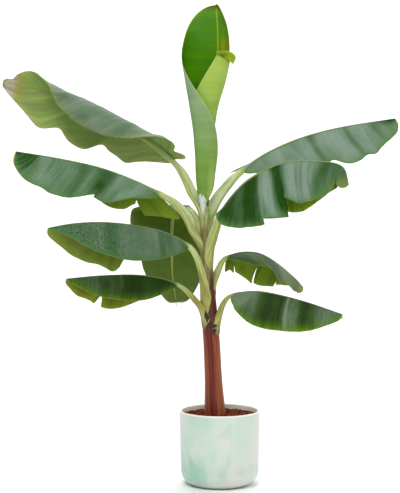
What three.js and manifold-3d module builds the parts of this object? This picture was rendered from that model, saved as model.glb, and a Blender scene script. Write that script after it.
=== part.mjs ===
// A young banana plant in a round glazed pot, about 1.43 m tall, as separate named solids: the pot, its
// soil, the leaning pseudostem, nine arching leaves with their petioles, and the rolled new leaf on top.
// Millimetres, +Z up, +X to the right, +Y to the back. The origin is the centre of the pot's underside.
import * as THREE from "three";
import { mergeVertices } from "three/addons/utils/BufferGeometryUtils.js";
import Module from "manifold-3d";

const wasm = await Module();
wasm.setup();

// Driving dimensions

const GAP = 0.3; // clearance between neighbouring solids

const POT = {
  height: 222,
  rimRadius: 120,
  baseRadius: 115.5, // where the wall would meet the floor without its rounded edge
  edgeRound: 21,
  wall: 7,
  floor: 12,
  sides: 36,
};

const SOIL = { belowRim: 14, inset: 0.6 };
const GROUND = POT.height - SOIL.belowRim;

const STEM = {
  foot: [-17, 0], // the stem stands a little left of the pot's axis
  lean: 2.7, // degrees to the left
  top: 830,
  radii: [31, 27.5, 25.3, 23.5, 19, 15, 13], // evenly spaced upwards, with the root flare first
  sides: 16,
  rings: 14,
};

const BLADE = {
  columns: 16, // steps along the midrib
  rows: [0, 0.07, 0.3, 0.55, 0.8, 1], // shares of a half's width, from the rib to the margin
  thinness: 95, // length over thickness
  ribDepth: 0.7, // of the rib's half-width, below the blade
  foldRoom: 0.8, // of the way in to the midrib's plane that an under face may reach
  ends: 0.35, // how bluntly the outline closes at its base and tip
};

const LIMB = { sides: 10, rings: 11, groove: 0.4, footTaper: 0.4 };

// Leaves from the youngest to the oldest. Angles are in degrees and lengths in millimetres. Lists of plain
// numbers run evenly from a leaf's base to its tip.
// azimuth: 0 points right and 90 to the back.
// petiole and midrib: [out from the stem's axis, height] in that direction.
// limb: the petiole's width where it leaves the stem and where it meets the blade.
// roll: turn of the whole blade about its midrib, if any.
// left and right are the halves of the blade, seen by someone who looks out along the leaf from the stem:
// width before the ends close it, droop below level at the rib, curl as the further bend up to the margin,
// sweep as how far the margin runs ahead of its vein's root, over the width,
// lobes, if any, as [count, height over width, phase],
// and tears, if any, as [place along the leaf, depth, gap].
const LEAVES = [
  {
    name: "top_left",
    azimuth: 168,
    petiole: [[6, 725], [9, 784], [20, 822], [41, 870], [66, 921]],
    midrib: [[99, 966], [179, 1026], [269, 1066], [394, 1134], [514, 1183], [633, 1210]],
    limb: [46, 22],
    roll: [50, 65, 65, 70, 85],
    left: {
      width: [110, 130, 128, 92, 60],
      droop: [0],
      curl: [10, 165, 175, 115, 10],
      sweep: [-0.35, 0.2, 0.2],
    },
    right: {
      width: [60, 90, 104, 112, 85],
      droop: [15, 15, 15, 10, 0],
      curl: [10],
      sweep: [0.1, 0.2, 0.3],
      lobes: [3.4, 0.2, 0.82],
    },
  },
  {
    name: "top_right",
    azimuth: 18,
    petiole: [[6, 705], [8, 766], [23, 811], [46, 850], [75, 891]],
    midrib: [[110, 930], [187, 981], [300, 1031], [436, 1069], [618, 1098]],
    limb: [48, 24],
    left: {
      width: [80, 125, 130, 120, 90],
      droop: [25, 35, 30],
      curl: [20, 30, 20],
      sweep: [0.1, 0.2, 0.25],
      lobes: [3, 0.04, 0],
    },
    right: {
      width: [60, 110, 118, 112, 75],
      droop: [45, 55, 50],
      curl: [15, 20, 10],
      sweep: [0.1, 0.2, 0.22],
      lobes: [4, 0.05, 0],
    },
  },
  {
    name: "mid_left",
    azimuth: 190,
    petiole: [[7, 670], [10, 731], [30, 775], [63, 814], [100, 848]],
    midrib: [[138, 874], [212, 912], [315, 947], [432, 970], [562, 988]],
    limb: [44, 22],
    left: {
      width: [60, 112, 112, 120, 92],
      droop: [45, 55, 55],
      curl: [20],
      sweep: [0.2, 0.2, 0.25],
      lobes: [3.4, 0.08, 0.25],
    },
    right: {
      width: [118, 108, 104, 105, 90],
      droop: [70, 72, 48, 40, 40],
      curl: [10],
      sweep: [-0.35, 0, 0.2],
      tears: [[0.2, 0.3, 0.02]],
    },
  },
  {
    name: "front_right",
    azimuth: -48,
    petiole: [[10, 625], [15, 701], [24, 740], [38, 772]],
    midrib: [[62, 810], [105, 858], [185, 912], [315, 956], [456, 957], [525, 938], [547, 905]],
    limb: [44, 22],
    left: {
      width: [80, 115, 145, 110, 45],
      droop: [30, 55, 75, 70, 50],
      curl: [15],
      sweep: [0, 0.1, 0.2],
    },
    right: {
      width: [140, 155, 155, 132, 112, 95, 60],
      droop: [55, 70, 65],
      curl: [15],
      sweep: [-0.3, 0.1, 0.2],
      tears: [[0.34, 0.15, 0.012], [0.5, 0.3, 0.02]],
    },
  },
  {
    name: "back_left",
    azimuth: 118,
    petiole: [[10, 630], [17, 700], [35, 745], [70, 792]],
    midrib: [[117, 822], [170, 832], [218, 812], [236, 760], [236, 690], [232, 610], [205, 528]],
    limb: [34, 18],
    left: {
      width: [120, 150, 132, 112, 80],
      droop: [5, 5, 10],
      curl: [10],
      sweep: [0, 0.05, 0.25],
    },
    right: {
      width: [90, 111, 115, 105, 80],
      droop: [20, 10, 10],
      curl: [10],
      sweep: [0, 0.1, 0.25],
    },
  },
  {
    name: "back_right",
    azimuth: 28,
    petiole: [[17, 555], [24, 601], [34, 635]],
    midrib: [[58, 672], [110, 691], [173, 688], [233, 659], [300, 610], [334, 578]],
    limb: [32, 16],
    left: {
      width: [85, 92, 98, 70, 30],
      droop: [55, 60, 60],
      curl: [15],
      sweep: [-0.2, 0.25, 0.2],
      tears: [[0.42, 0.6, 0.03], [0.72, 0.25, 0.02]],
    },
    right: {
      width: [60, 105, 95, 75, 55],
      droop: [20, 25, 40],
      curl: [20],
      sweep: [0.2],
    },
  },
  {
    name: "front_left",
    azimuth: 212,
    petiole: [[17, 520], [20, 600], [27, 645], [46, 688]],
    midrib: [[72, 716], [115, 743], [200, 770], [330, 788], [440, 787], [530, 770]],
    limb: [38, 19],
    left: {
      width: [75, 108, 118, 100, 30],
      droop: [45, 50, 45],
      curl: [20],
      sweep: [-0.1, 0.1, 0.2],
    },
    right: {
      width: [60, 80, 135, 112, 55],
      droop: [40, 50, 75, 75, 65],
      curl: [10],
      sweep: [0, 0.1, 0.2],
      tears: [[0.47, 0.35, 0.03]],
    },
  },
  {
    name: "low_left",
    azimuth: 198,
    petiole: [[19, 455], [25, 505], [41, 544], [70, 577]],
    midrib: [[104, 602], [148, 619], [230, 632], [340, 632], [440, 625]],
    limb: [26, 14],
    left: {
      width: [45, 78, 82, 66, 28],
      droop: [50],
      curl: [20],
      sweep: [0.15, 0.2, 0.2],
    },
    right: {
      width: [45, 85, 100, 72, 25],
      droop: [50, 70, 75, 70, 60],
      curl: [10],
      sweep: [0.15, 0.2, 0.25],
      tears: [[0.62, 0.25, 0.02]],
    },
  },
  {
    name: "low_right",
    azimuth: -25,
    petiole: [[20, 420], [24, 480], [31, 515], [44, 543]],
    midrib: [[62, 564], [95, 578], [169, 582], [288, 560], [410, 526]],
    limb: [30, 15],
    left: {
      width: [60, 100, 105, 85, 50],
      droop: [30, 40, 40],
      curl: [20],
      sweep: [0.15, 0.2, 0.2],
    },
    right: {
      width: [80, 112, 104, 92, 50],
      droop: [50, 60, 60],
      curl: [15],
      sweep: [0.05, 0.15, 0.2],
    },
  },
];

// The new leaf is a scroll on top of the stem, open towards its tip. Its lists run evenly from the foot up.
const SPEAR = {
  top: 1431,
  axis: [-46, -45, -40, -46, -46, -42, -39, -36, -36], // sideways place of the scroll's middle
  radii: [8, 17, 22, 26.5, 38, 53, 66, 65, 57],
  depth: 0.65, // front to back over side to side
  ribAngle: [130, 120, 105, 92, 82, 72, 66, 66, 66], // 90 is the back
  left: [18, 60, 95, 104, 111, 120, 118, 106, 88], // half-widths before the tip closes them
  right: [18, 60, 100, 125, 135, 139, 130, 45, 28],
  layer: 8, // the left margin lies this far outside the mean surface, and the right one as far inside
  fullLayer: 22, // the radius from which the layers lie that far apart
  columns: 20,
  rows: 11,
  tipRound: 6,
};

// Colours and finishes

const MATERIALS = {
  glaze: new THREE.MeshStandardMaterial({ color: 0xd3e3d8, roughness: 0.45 }),
  soil: new THREE.MeshStandardMaterial({ color: 0x6b2f1e, roughness: 0.95 }),
  stem: new THREE.MeshStandardMaterial({ color: 0x7d3a2c, roughness: 0.55 }),
  petiole: new THREE.MeshStandardMaterial({ color: 0xa9b860, roughness: 0.5 }),
  leaf: new THREE.MeshStandardMaterial({ color: 0x3f6f3a, roughness: 0.42 }),
};

// Curves and solids

const radians = THREE.MathUtils.degToRad;

// The value at s, from 0 to 1, of a smooth curve through evenly spaced values.
function along(values, s) {
  if (values.length === 1) return values[0];
  const knots = values.map((v, i) => new THREE.Vector2(i, v));
  return new THREE.SplineCurve(knots).getPoint(s).y;
}

// The stem's axis at a height.
function stemAxis(z) {
  return new THREE.Vector3(STEM.foot[0] - (z - GROUND) * Math.tan(radians(STEM.lean)), STEM.foot[1], z);
}

// A stretch of a curve, with its own places from 0 to 1.
function stretch(curve, from, to) {
  const place = (s) => THREE.MathUtils.lerp(from, to, s);
  return {
    length: curve.getLength() * (to - from),
    point: (s) => curve.getPointAt(place(s)),
    forward: (s) => curve.getTangentAt(place(s)),
  };
}

// One leaf's petiole and midrib: one smooth line in its vertical plane, split where the blade begins.
function railsOf(leaf) {
  const root = stemAxis(leaf.petiole[0][1]);
  const azimuth = radians(leaf.azimuth);
  const places = [...leaf.petiole, ...leaf.midrib].map(
    ([out, height]) =>
      new THREE.Vector3(root.x + out * Math.cos(azimuth), root.y + out * Math.sin(azimuth), height),
  );
  const curve = new THREE.CatmullRomCurve3(places, false, "catmullrom");
  const steps = 20;
  const lengths = curve.getLengths(steps * (places.length - 1));
  const split = lengths[steps * leaf.petiole.length] / lengths.at(-1);
  return { petiole: stretch(curve, 0, split), midrib: stretch(curve, split, 1) };
}

// The directions at a place on a leaf's curve: along it, to its left, and out of its upper side.
function directionsAt(leaf, rail, s, roll = 0) {
  const forward = rail.forward(s);
  const azimuth = radians(leaf.azimuth);
  const left = new THREE.Vector3(-Math.sin(azimuth), Math.cos(azimuth), 0);
  left.applyAxisAngle(forward, radians(roll));
  return { forward, left, up: new THREE.Vector3().crossVectors(forward, left).normalize() };
}

// A closed surface over rings of points, with a flat fan on each end.
function loft(rings) {
  const sides = rings[0].length;
  const points = rings.flat();
  const faces = [];
  for (let i = 0; i + 1 < rings.length; i++) {
    for (let j = 0; j < sides; j++) {
      const [a, b] = [i * sides + j, i * sides + ((j + 1) % sides)];
      faces.push(a, b, b + sides, a, b + sides, a + sides);
    }
  }
  [rings[0], rings.at(-1)].forEach((ring, end) => {
    const middle = points.length;
    points.push(ring.reduce((sum, p) => sum.add(p), new THREE.Vector3()).divideScalar(sides));
    const first = end ? (rings.length - 1) * sides : 0;
    for (let j = 0; j < sides; j++) {
      const [a, b] = [first + j, first + ((j + 1) % sides)];
      faces.push(...(end ? [middle, a, b] : [middle, b, a]));
    }
  });
  return new THREE.BufferGeometry().setFromPoints(points).setIndex(faces);
}

function solidOf(geometry) {
  const bare = geometry.clone();
  bare.deleteAttribute("normal");
  bare.deleteAttribute("uv");
  const merged = mergeVertices(bare, 1e-3);
  const mesh = new wasm.Mesh({
    numProp: 3,
    vertProperties: merged.attributes.position.array,
    triVerts: new Uint32Array(merged.index.array),
  });
  return new wasm.Manifold(mesh);
}

// The largest body of a solid as a geometry: scraps that a cut leaves are dropped.
function geometryOf(solid) {
  const largest = solid.decompose().reduce((a, b) => (b.volume() > a.volume() ? b : a));
  const mesh = largest.getMesh();
  return new THREE.BufferGeometry()
    .setAttribute("position", new THREE.BufferAttribute(new Float32Array(mesh.vertProperties), 3))
    .setIndex(new THREE.BufferAttribute(new Uint32Array(mesh.triVerts), 1));
}

// Pot and soil

function turned(profile) {
  return new THREE.LatheGeometry(profile, POT.sides).rotateX(Math.PI / 2);
}

// The wall's outer radius at a height.
function potRadius(z) {
  return THREE.MathUtils.lerp(POT.baseRadius, POT.rimRadius, z / POT.height);
}

function potGeometry() {
  const lip = POT.wall / 2;
  const outline = new THREE.Path();
  outline.lineTo(potRadius(0) - POT.edgeRound, 0);
  outline.absarc(potRadius(0) - POT.edgeRound, POT.edgeRound, POT.edgeRound, -Math.PI / 2, 0);
  outline.absarc(POT.rimRadius - lip, POT.height - lip, lip, 0, Math.PI);
  const inner = potRadius(POT.floor) - POT.wall;
  const round = POT.edgeRound - POT.wall;
  outline.absarc(inner - round, POT.floor + round, round, 0, -Math.PI / 2, true);
  outline.lineTo(0, POT.floor);
  return turned(outline.getPoints(4));
}

function soilGeometry() {
  const inside = (z) => potRadius(z) - POT.wall - SOIL.inset;
  const round = POT.edgeRound - POT.wall;
  const bottom = POT.floor + GAP;
  const outline = new THREE.Path();
  outline.moveTo(0, bottom);
  outline.lineTo(inside(bottom) - round, bottom);
  outline.absarc(inside(bottom) - round, bottom + round, round, -Math.PI / 2, 0);
  outline.lineTo(inside(GROUND), GROUND);
  outline.lineTo(0, GROUND);
  return turned(outline.getPoints(5));
}

// Pseudostem

function stemGeometry(grown = 0) {
  const rings = [];
  for (let i = 0; i <= STEM.rings; i++) {
    const s = i / STEM.rings;
    const centre = stemAxis(THREE.MathUtils.lerp(GROUND + GAP, STEM.top + 2 * grown, s));
    const radius = along(STEM.radii, s) + grown;
    const ring = [];
    for (let j = 0; j < STEM.sides; j++) {
      const angle = (2 * Math.PI * j) / STEM.sides;
      ring.push(new THREE.Vector3(radius * Math.cos(angle), radius * Math.sin(angle), 0).add(centre));
    }
    rings.push(ring);
  }
  return loft(rings);
}

// Petioles: channelled limbs whose foot is a sheath that clasps the stem

function petioleGeometry(leaf, grown = 0) {
  const rail = railsOf(leaf).petiole;
  const end = 1 - GAP / rail.length;
  const rings = [];
  for (let i = 0; i <= LIMB.rings; i++) {
    const s = (i / LIMB.rings) * end;
    const foot = THREE.MathUtils.lerp(LIMB.footTaper, 1, THREE.MathUtils.smoothstep(s, 0, 0.25));
    const half = (THREE.MathUtils.lerp(...leaf.limb, s) * foot) / 2 + grown;
    const { forward, left, up } = directionsAt(leaf, rail, s);
    const lengthening = i === 0 ? -grown : 0;
    const ring = [];
    for (let j = 0; j < LIMB.sides; j++) {
      const angle = (2 * Math.PI * j) / LIMB.sides;
      const rise = Math.sin(angle);
      const hollow = rise > 0 ? LIMB.groove * (1 - Math.abs(Math.cos(angle))) : 0;
      ring.push(
        rail
          .point(s)
          .addScaledVector(forward, lengthening)
          .addScaledVector(left, half * Math.cos(angle))
          .addScaledVector(up, half * (rise - hollow)),
      );
    }
    rings.push(ring);
  }
  return loft(rings);
}

// Blades: thin plates on a rib, which droop to both sides

// Half the midrib's own width: as wide as the petiole at the blade's base, and slim at the tip.
function ribHalfWidth(leaf, s) {
  return (leaf.limb[1] / 2) * (1 - 0.8 * s);
}

const NO_LOBES = [0, 0, 0];

function tearsOf(half) {
  return half.tears ?? [];
}

// A half's width at s, with its lobes and with the notches of its tears.
function halfWidth(leaf, half, s) {
  const closing = Math.pow(4 * s * (1 - s), BLADE.ends);
  const [count, height, phase] = half.lobes ?? NO_LOBES;
  const lobed = 1 + height * Math.sin(2 * Math.PI * (count * s + phase));
  const notched = tearsOf(half).reduce((share, [place, depth, gap]) => {
    const near = Math.max(0, 1 - Math.abs(s - place) / gap);
    return Math.min(share, 1 - depth * near);
  }, 1);
  return Math.max(ribHalfWidth(leaf, s), along(half.width, s) * closing * lobed * notched);
}

// Even steps from 0 to 1, crowded towards both ends.
function crowded(x) {
  return x - 0.1 * Math.sin(2 * Math.PI * x);
}

// The places along the midrib where a blade has sections: evenly, and at the mouth and root of each tear.
function stations(leaf) {
  const tears = [...tearsOf(leaf.left), ...tearsOf(leaf.right)];
  const mouths = tears.flatMap(([place, , gap]) => [place - gap, place, place + gap]);
  const even = Array.from({ length: BLADE.columns + 1 }, (_, i) => crowded(i / BLADE.columns));
  const clear = even.filter((s) => mouths.every((mouth) => Math.abs(mouth - s) > 0.015));
  return [...clear, ...mouths].sort((a, b) => a - b);
}

// A point of the blade's upper face and the one on its under face. side: 1 on the left, -1 on the right.
function bladePoints(leaf, rail, s, side, share, thickness) {
  const { forward, left, up } = directionsAt(leaf, rail, s, along(leaf.roll ?? [0], s));
  const half = side > 0 ? leaf.left : leaf.right;
  const width = halfWidth(leaf, half, s);
  const droop = radians(along(half.droop, s));
  const curl = radians(along(half.curl, s));
  const steps = 8;
  const step = (width * share) / steps;
  let [aside, fall] = [0, 0];
  for (let i = 0; i < steps; i++) {
    const angle = droop + curl * share * ((i + 0.5) / steps);
    aside += step * Math.cos(angle);
    fall += step * Math.sin(angle);
  }
  const ahead = share * share * (width - ribHalfWidth(leaf, s)) * along(half.sweep, s);
  const place = (out, down) =>
    rail
      .point(s)
      .addScaledVector(left, side * out)
      .addScaledVector(up, -down)
      .addScaledVector(forward, ahead);
  const slope = share > 0 ? droop + curl * share : 0;
  const inward = Math.min(thickness * Math.sin(slope), BLADE.foldRoom * aside);
  return [place(aside, fall), place(aside - inward, fall + thickness * Math.cos(slope))];
}

function bladeGeometry(leaf) {
  const rail = railsOf(leaf).midrib;
  const thickness = rail.length / BLADE.thinness;
  const rings = stations(leaf).map((s) => {
    const upper = [];
    const under = [];
    for (const side of [1, -1]) {
      const shares = side > 0 ? [...BLADE.rows].reverse() : BLADE.rows.slice(1);
      for (const share of shares) {
        const rib = share > 0 ? 0 : BLADE.ribDepth * ribHalfWidth(leaf, s);
        const [above, below] = bladePoints(leaf, rail, s, side, share, thickness + rib);
        upper.push(above);
        under.unshift(below);
      }
    }
    return [...upper, ...under];
  });
  return loft(rings);
}

// The new leaf on top

const spearThickness = (SPEAR.top - STEM.top) / BLADE.thinness;

// The middle of the scroll at s, and its half-size from side to side there.
function scrollAt(s) {
  const height = THREE.MathUtils.lerp(STEM.top + GAP, SPEAR.top, s);
  const middle = new THREE.Vector3(along(SPEAR.axis, s), 0, height);
  const radius = along(SPEAR.radii, s);
  return { middle, radius, layer: SPEAR.layer * Math.min(1, radius / SPEAR.fullLayer) };
}

// The room that the scroll's lower part fills, which the petioles around it keep clear of.
function scrollRoom() {
  const rings = [];
  for (let i = 0; i <= LIMB.rings; i++) {
    const { middle, radius, layer } = scrollAt((i / LIMB.rings) * 0.4);
    const skin = layer + spearThickness + 2 * GAP;
    if (i === 0) middle.z -= 2 * GAP;
    const ring = [];
    for (let j = 0; j < STEM.sides; j++) {
      const angle = (2 * Math.PI * j) / STEM.sides;
      const x = (radius + skin) * Math.cos(angle);
      const y = (radius * SPEAR.depth + skin) * Math.sin(angle);
      ring.push(new THREE.Vector3(x, y, 0).add(middle));
    }
    rings.push(ring);
  }
  return loft(rings);
}

function spearGeometry() {
  const rings = [];
  for (let i = 0; i <= SPEAR.columns; i++) {
    const s = crowded(i / SPEAR.columns);
    const { middle, radius, layer } = scrollAt(s);
    const closing = Math.sqrt(1 - Math.pow(s, SPEAR.tipRound));
    const upper = [];
    const under = [];
    for (let j = -SPEAR.rows; j <= SPEAR.rows; j++) {
      const share = -j / SPEAR.rows;
      const width = along(share > 0 ? SPEAR.left : SPEAR.right, s) * closing + 2;
      const turn = (share * width) / (radius * (1 + SPEAR.depth) * 0.5);
      const angle = radians(along(SPEAR.ribAngle, s)) + turn;
      const outward = new THREE.Vector3(Math.cos(angle), Math.sin(angle), 0);
      const point = new THREE.Vector3(radius * Math.cos(angle), radius * SPEAR.depth * Math.sin(angle), 0);
      point.add(middle);
      point.addScaledVector(outward, layer * share);
      upper.push(point);
      under.unshift(point.clone().addScaledVector(outward, spearThickness));
    }
    rings.push([...upper, ...under]);
  }
  return loft(rings);
}

// Assembly

const plant = new THREE.Group();

function add(name, geometry, material) {
  geometry.computeVertexNormals();
  const mesh = new THREE.Mesh(geometry, material);
  mesh.name = name;
  plant.add(mesh);
}

add("pot", potGeometry(), MATERIALS.glaze);
add("soil", soilGeometry(), MATERIALS.soil);
add("pseudostem", stemGeometry(), MATERIALS.stem);

add("leaf_spear", spearGeometry(), MATERIALS.leaf);

let inner = solidOf(stemGeometry(GAP)).add(solidOf(scrollRoom()));
for (const leaf of LEAVES) {
  const limb = solidOf(petioleGeometry(leaf)).subtract(inner);
  add(`petiole_${leaf.name}`, geometryOf(limb), MATERIALS.petiole);
  inner = inner.add(solidOf(petioleGeometry(leaf, GAP)));
  add(`leaf_${leaf.name}`, bladeGeometry(leaf), MATERIALS.leaf);
}

export default plant;
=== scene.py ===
"""Looks of the young banana plant in its glazed pot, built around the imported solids.

Lengths in the tables are millimetres, and become metres where a mesh is made. +X is right, +Y back and
+Z up, from the centre of the pot's underside.
"""
import math

import bpy
import numpy as np
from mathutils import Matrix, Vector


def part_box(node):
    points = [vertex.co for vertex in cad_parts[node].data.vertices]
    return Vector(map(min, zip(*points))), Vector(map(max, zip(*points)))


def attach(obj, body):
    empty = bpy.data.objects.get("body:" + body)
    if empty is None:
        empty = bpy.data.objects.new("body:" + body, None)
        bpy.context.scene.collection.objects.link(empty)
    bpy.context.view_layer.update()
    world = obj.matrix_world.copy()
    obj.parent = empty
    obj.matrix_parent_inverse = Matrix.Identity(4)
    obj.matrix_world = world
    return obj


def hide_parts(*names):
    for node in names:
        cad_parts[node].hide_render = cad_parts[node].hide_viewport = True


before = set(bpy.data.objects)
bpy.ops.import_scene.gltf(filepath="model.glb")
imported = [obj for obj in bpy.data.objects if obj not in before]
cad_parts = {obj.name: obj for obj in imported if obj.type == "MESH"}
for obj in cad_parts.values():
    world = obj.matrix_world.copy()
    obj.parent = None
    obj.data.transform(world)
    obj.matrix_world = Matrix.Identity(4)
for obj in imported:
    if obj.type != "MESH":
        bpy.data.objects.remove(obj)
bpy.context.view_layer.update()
MM = 0.001
DECIMETRE = 100
POT_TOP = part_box("pot")[1] / MM
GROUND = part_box("soil")[1].z / MM
SEEDS = {"pot": 3, "soil": 11, "edges": 21, "stem": 5, "new_leaf": 95, "lip": 91, "scraps": 300,
         "threads": 60}

# Camera and light

IMAGE_HEIGHT = 493
CAMERA = {"place": (-58.9, -4000, 895), "down": 2.63, "focal_px": 1345, "sensor": 36}
WORLD = {"colour": (1, 1, 1, 1), "strength": 0.5}
LAMPS = [  # name, place, what it points at, size, watts
    ("key", (-700, -2100, 3600), (-40, 0, 850), 1500, 70),
    ("fill", (1500, -3800, 1500), (-40, 0, 800), 2400, 26),
    ("top", (300, 900, 3600), (-40, 0, 800), 2400, 34),
    ("rim", (2200, 1200, 1600), (-40, 0, 800), 1600, 16),
    ("backdrop", (0, 6000, 8400), (0, 11200, 1800), 7200, 760),
]
FLOOR = {"reach": 18000, "back": 12000, "bend": 5000, "high": 18000}

# Pot, soil and stem

POT = {
    "base_radius": 115.5,
    "wall": 7,
    "floor": 12,
    "lip": 3.5,
    "edge_round": 42,
    "foot_ring": 14,
    "recess": 2.5,
    "sides": 160,
    "uneven": 0.0016,  # share of the radius by which the wall strays from a circle
    "cream_rows": 13,  # rows at the end of the profile that have the lip's cream, which inside the pot is painted light
    "mint_side": 205,  # degrees at which the mint is strongest
    "mint": (40, 55),  # its height and spread
    "dark_foot": 7,  # height of the darker band at the foot
}
SOIL = {
    "rings": 46,
    "sectors": 150,
    "gap": 0.4,
    "skirt": 12,
    "bumps": 3.2,
    "waves": [(14, 0.9), (40, 0.6), (120, 0.35)],  # how close, and share of the bumps' height
    "mound": (3, 45),  # height and spread round the stem
    "crumbs": 650,
    "crumb_size": (1.2, 4.2),
}
STEM = {
    "foot": (-17, 0),
    "lean": 2.7,
    "top": 830,
    "sunk": 8,  # how far it goes on below the ground
    "radii": [31.5, 25.6, 24, 23.2, 19, 15, 11],
    "bow": 3.5,  # how far the lower part stands to the right
    "bow_fades": (400, 560),
    "sides": 72,
    "rings": 110,
    "sheaths": [(30, 0.6), (130, 0.75), (243, 0), (279, 1)],  # degrees where each begins, maroon 0 to rust 1
    "rust_fades": (400, 520),
    "edge_drift": -16,  # degrees that the edges turn on the way up
    "edge_step": 1.9,
    "edge_width": 3.5,
    "olive": (390, 570),  # heights between which red turns to olive
    "red_side": 305,  # degrees at which the red reaches higher
    "red_spread": 42,
    "red_rise": 170,
}
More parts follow.
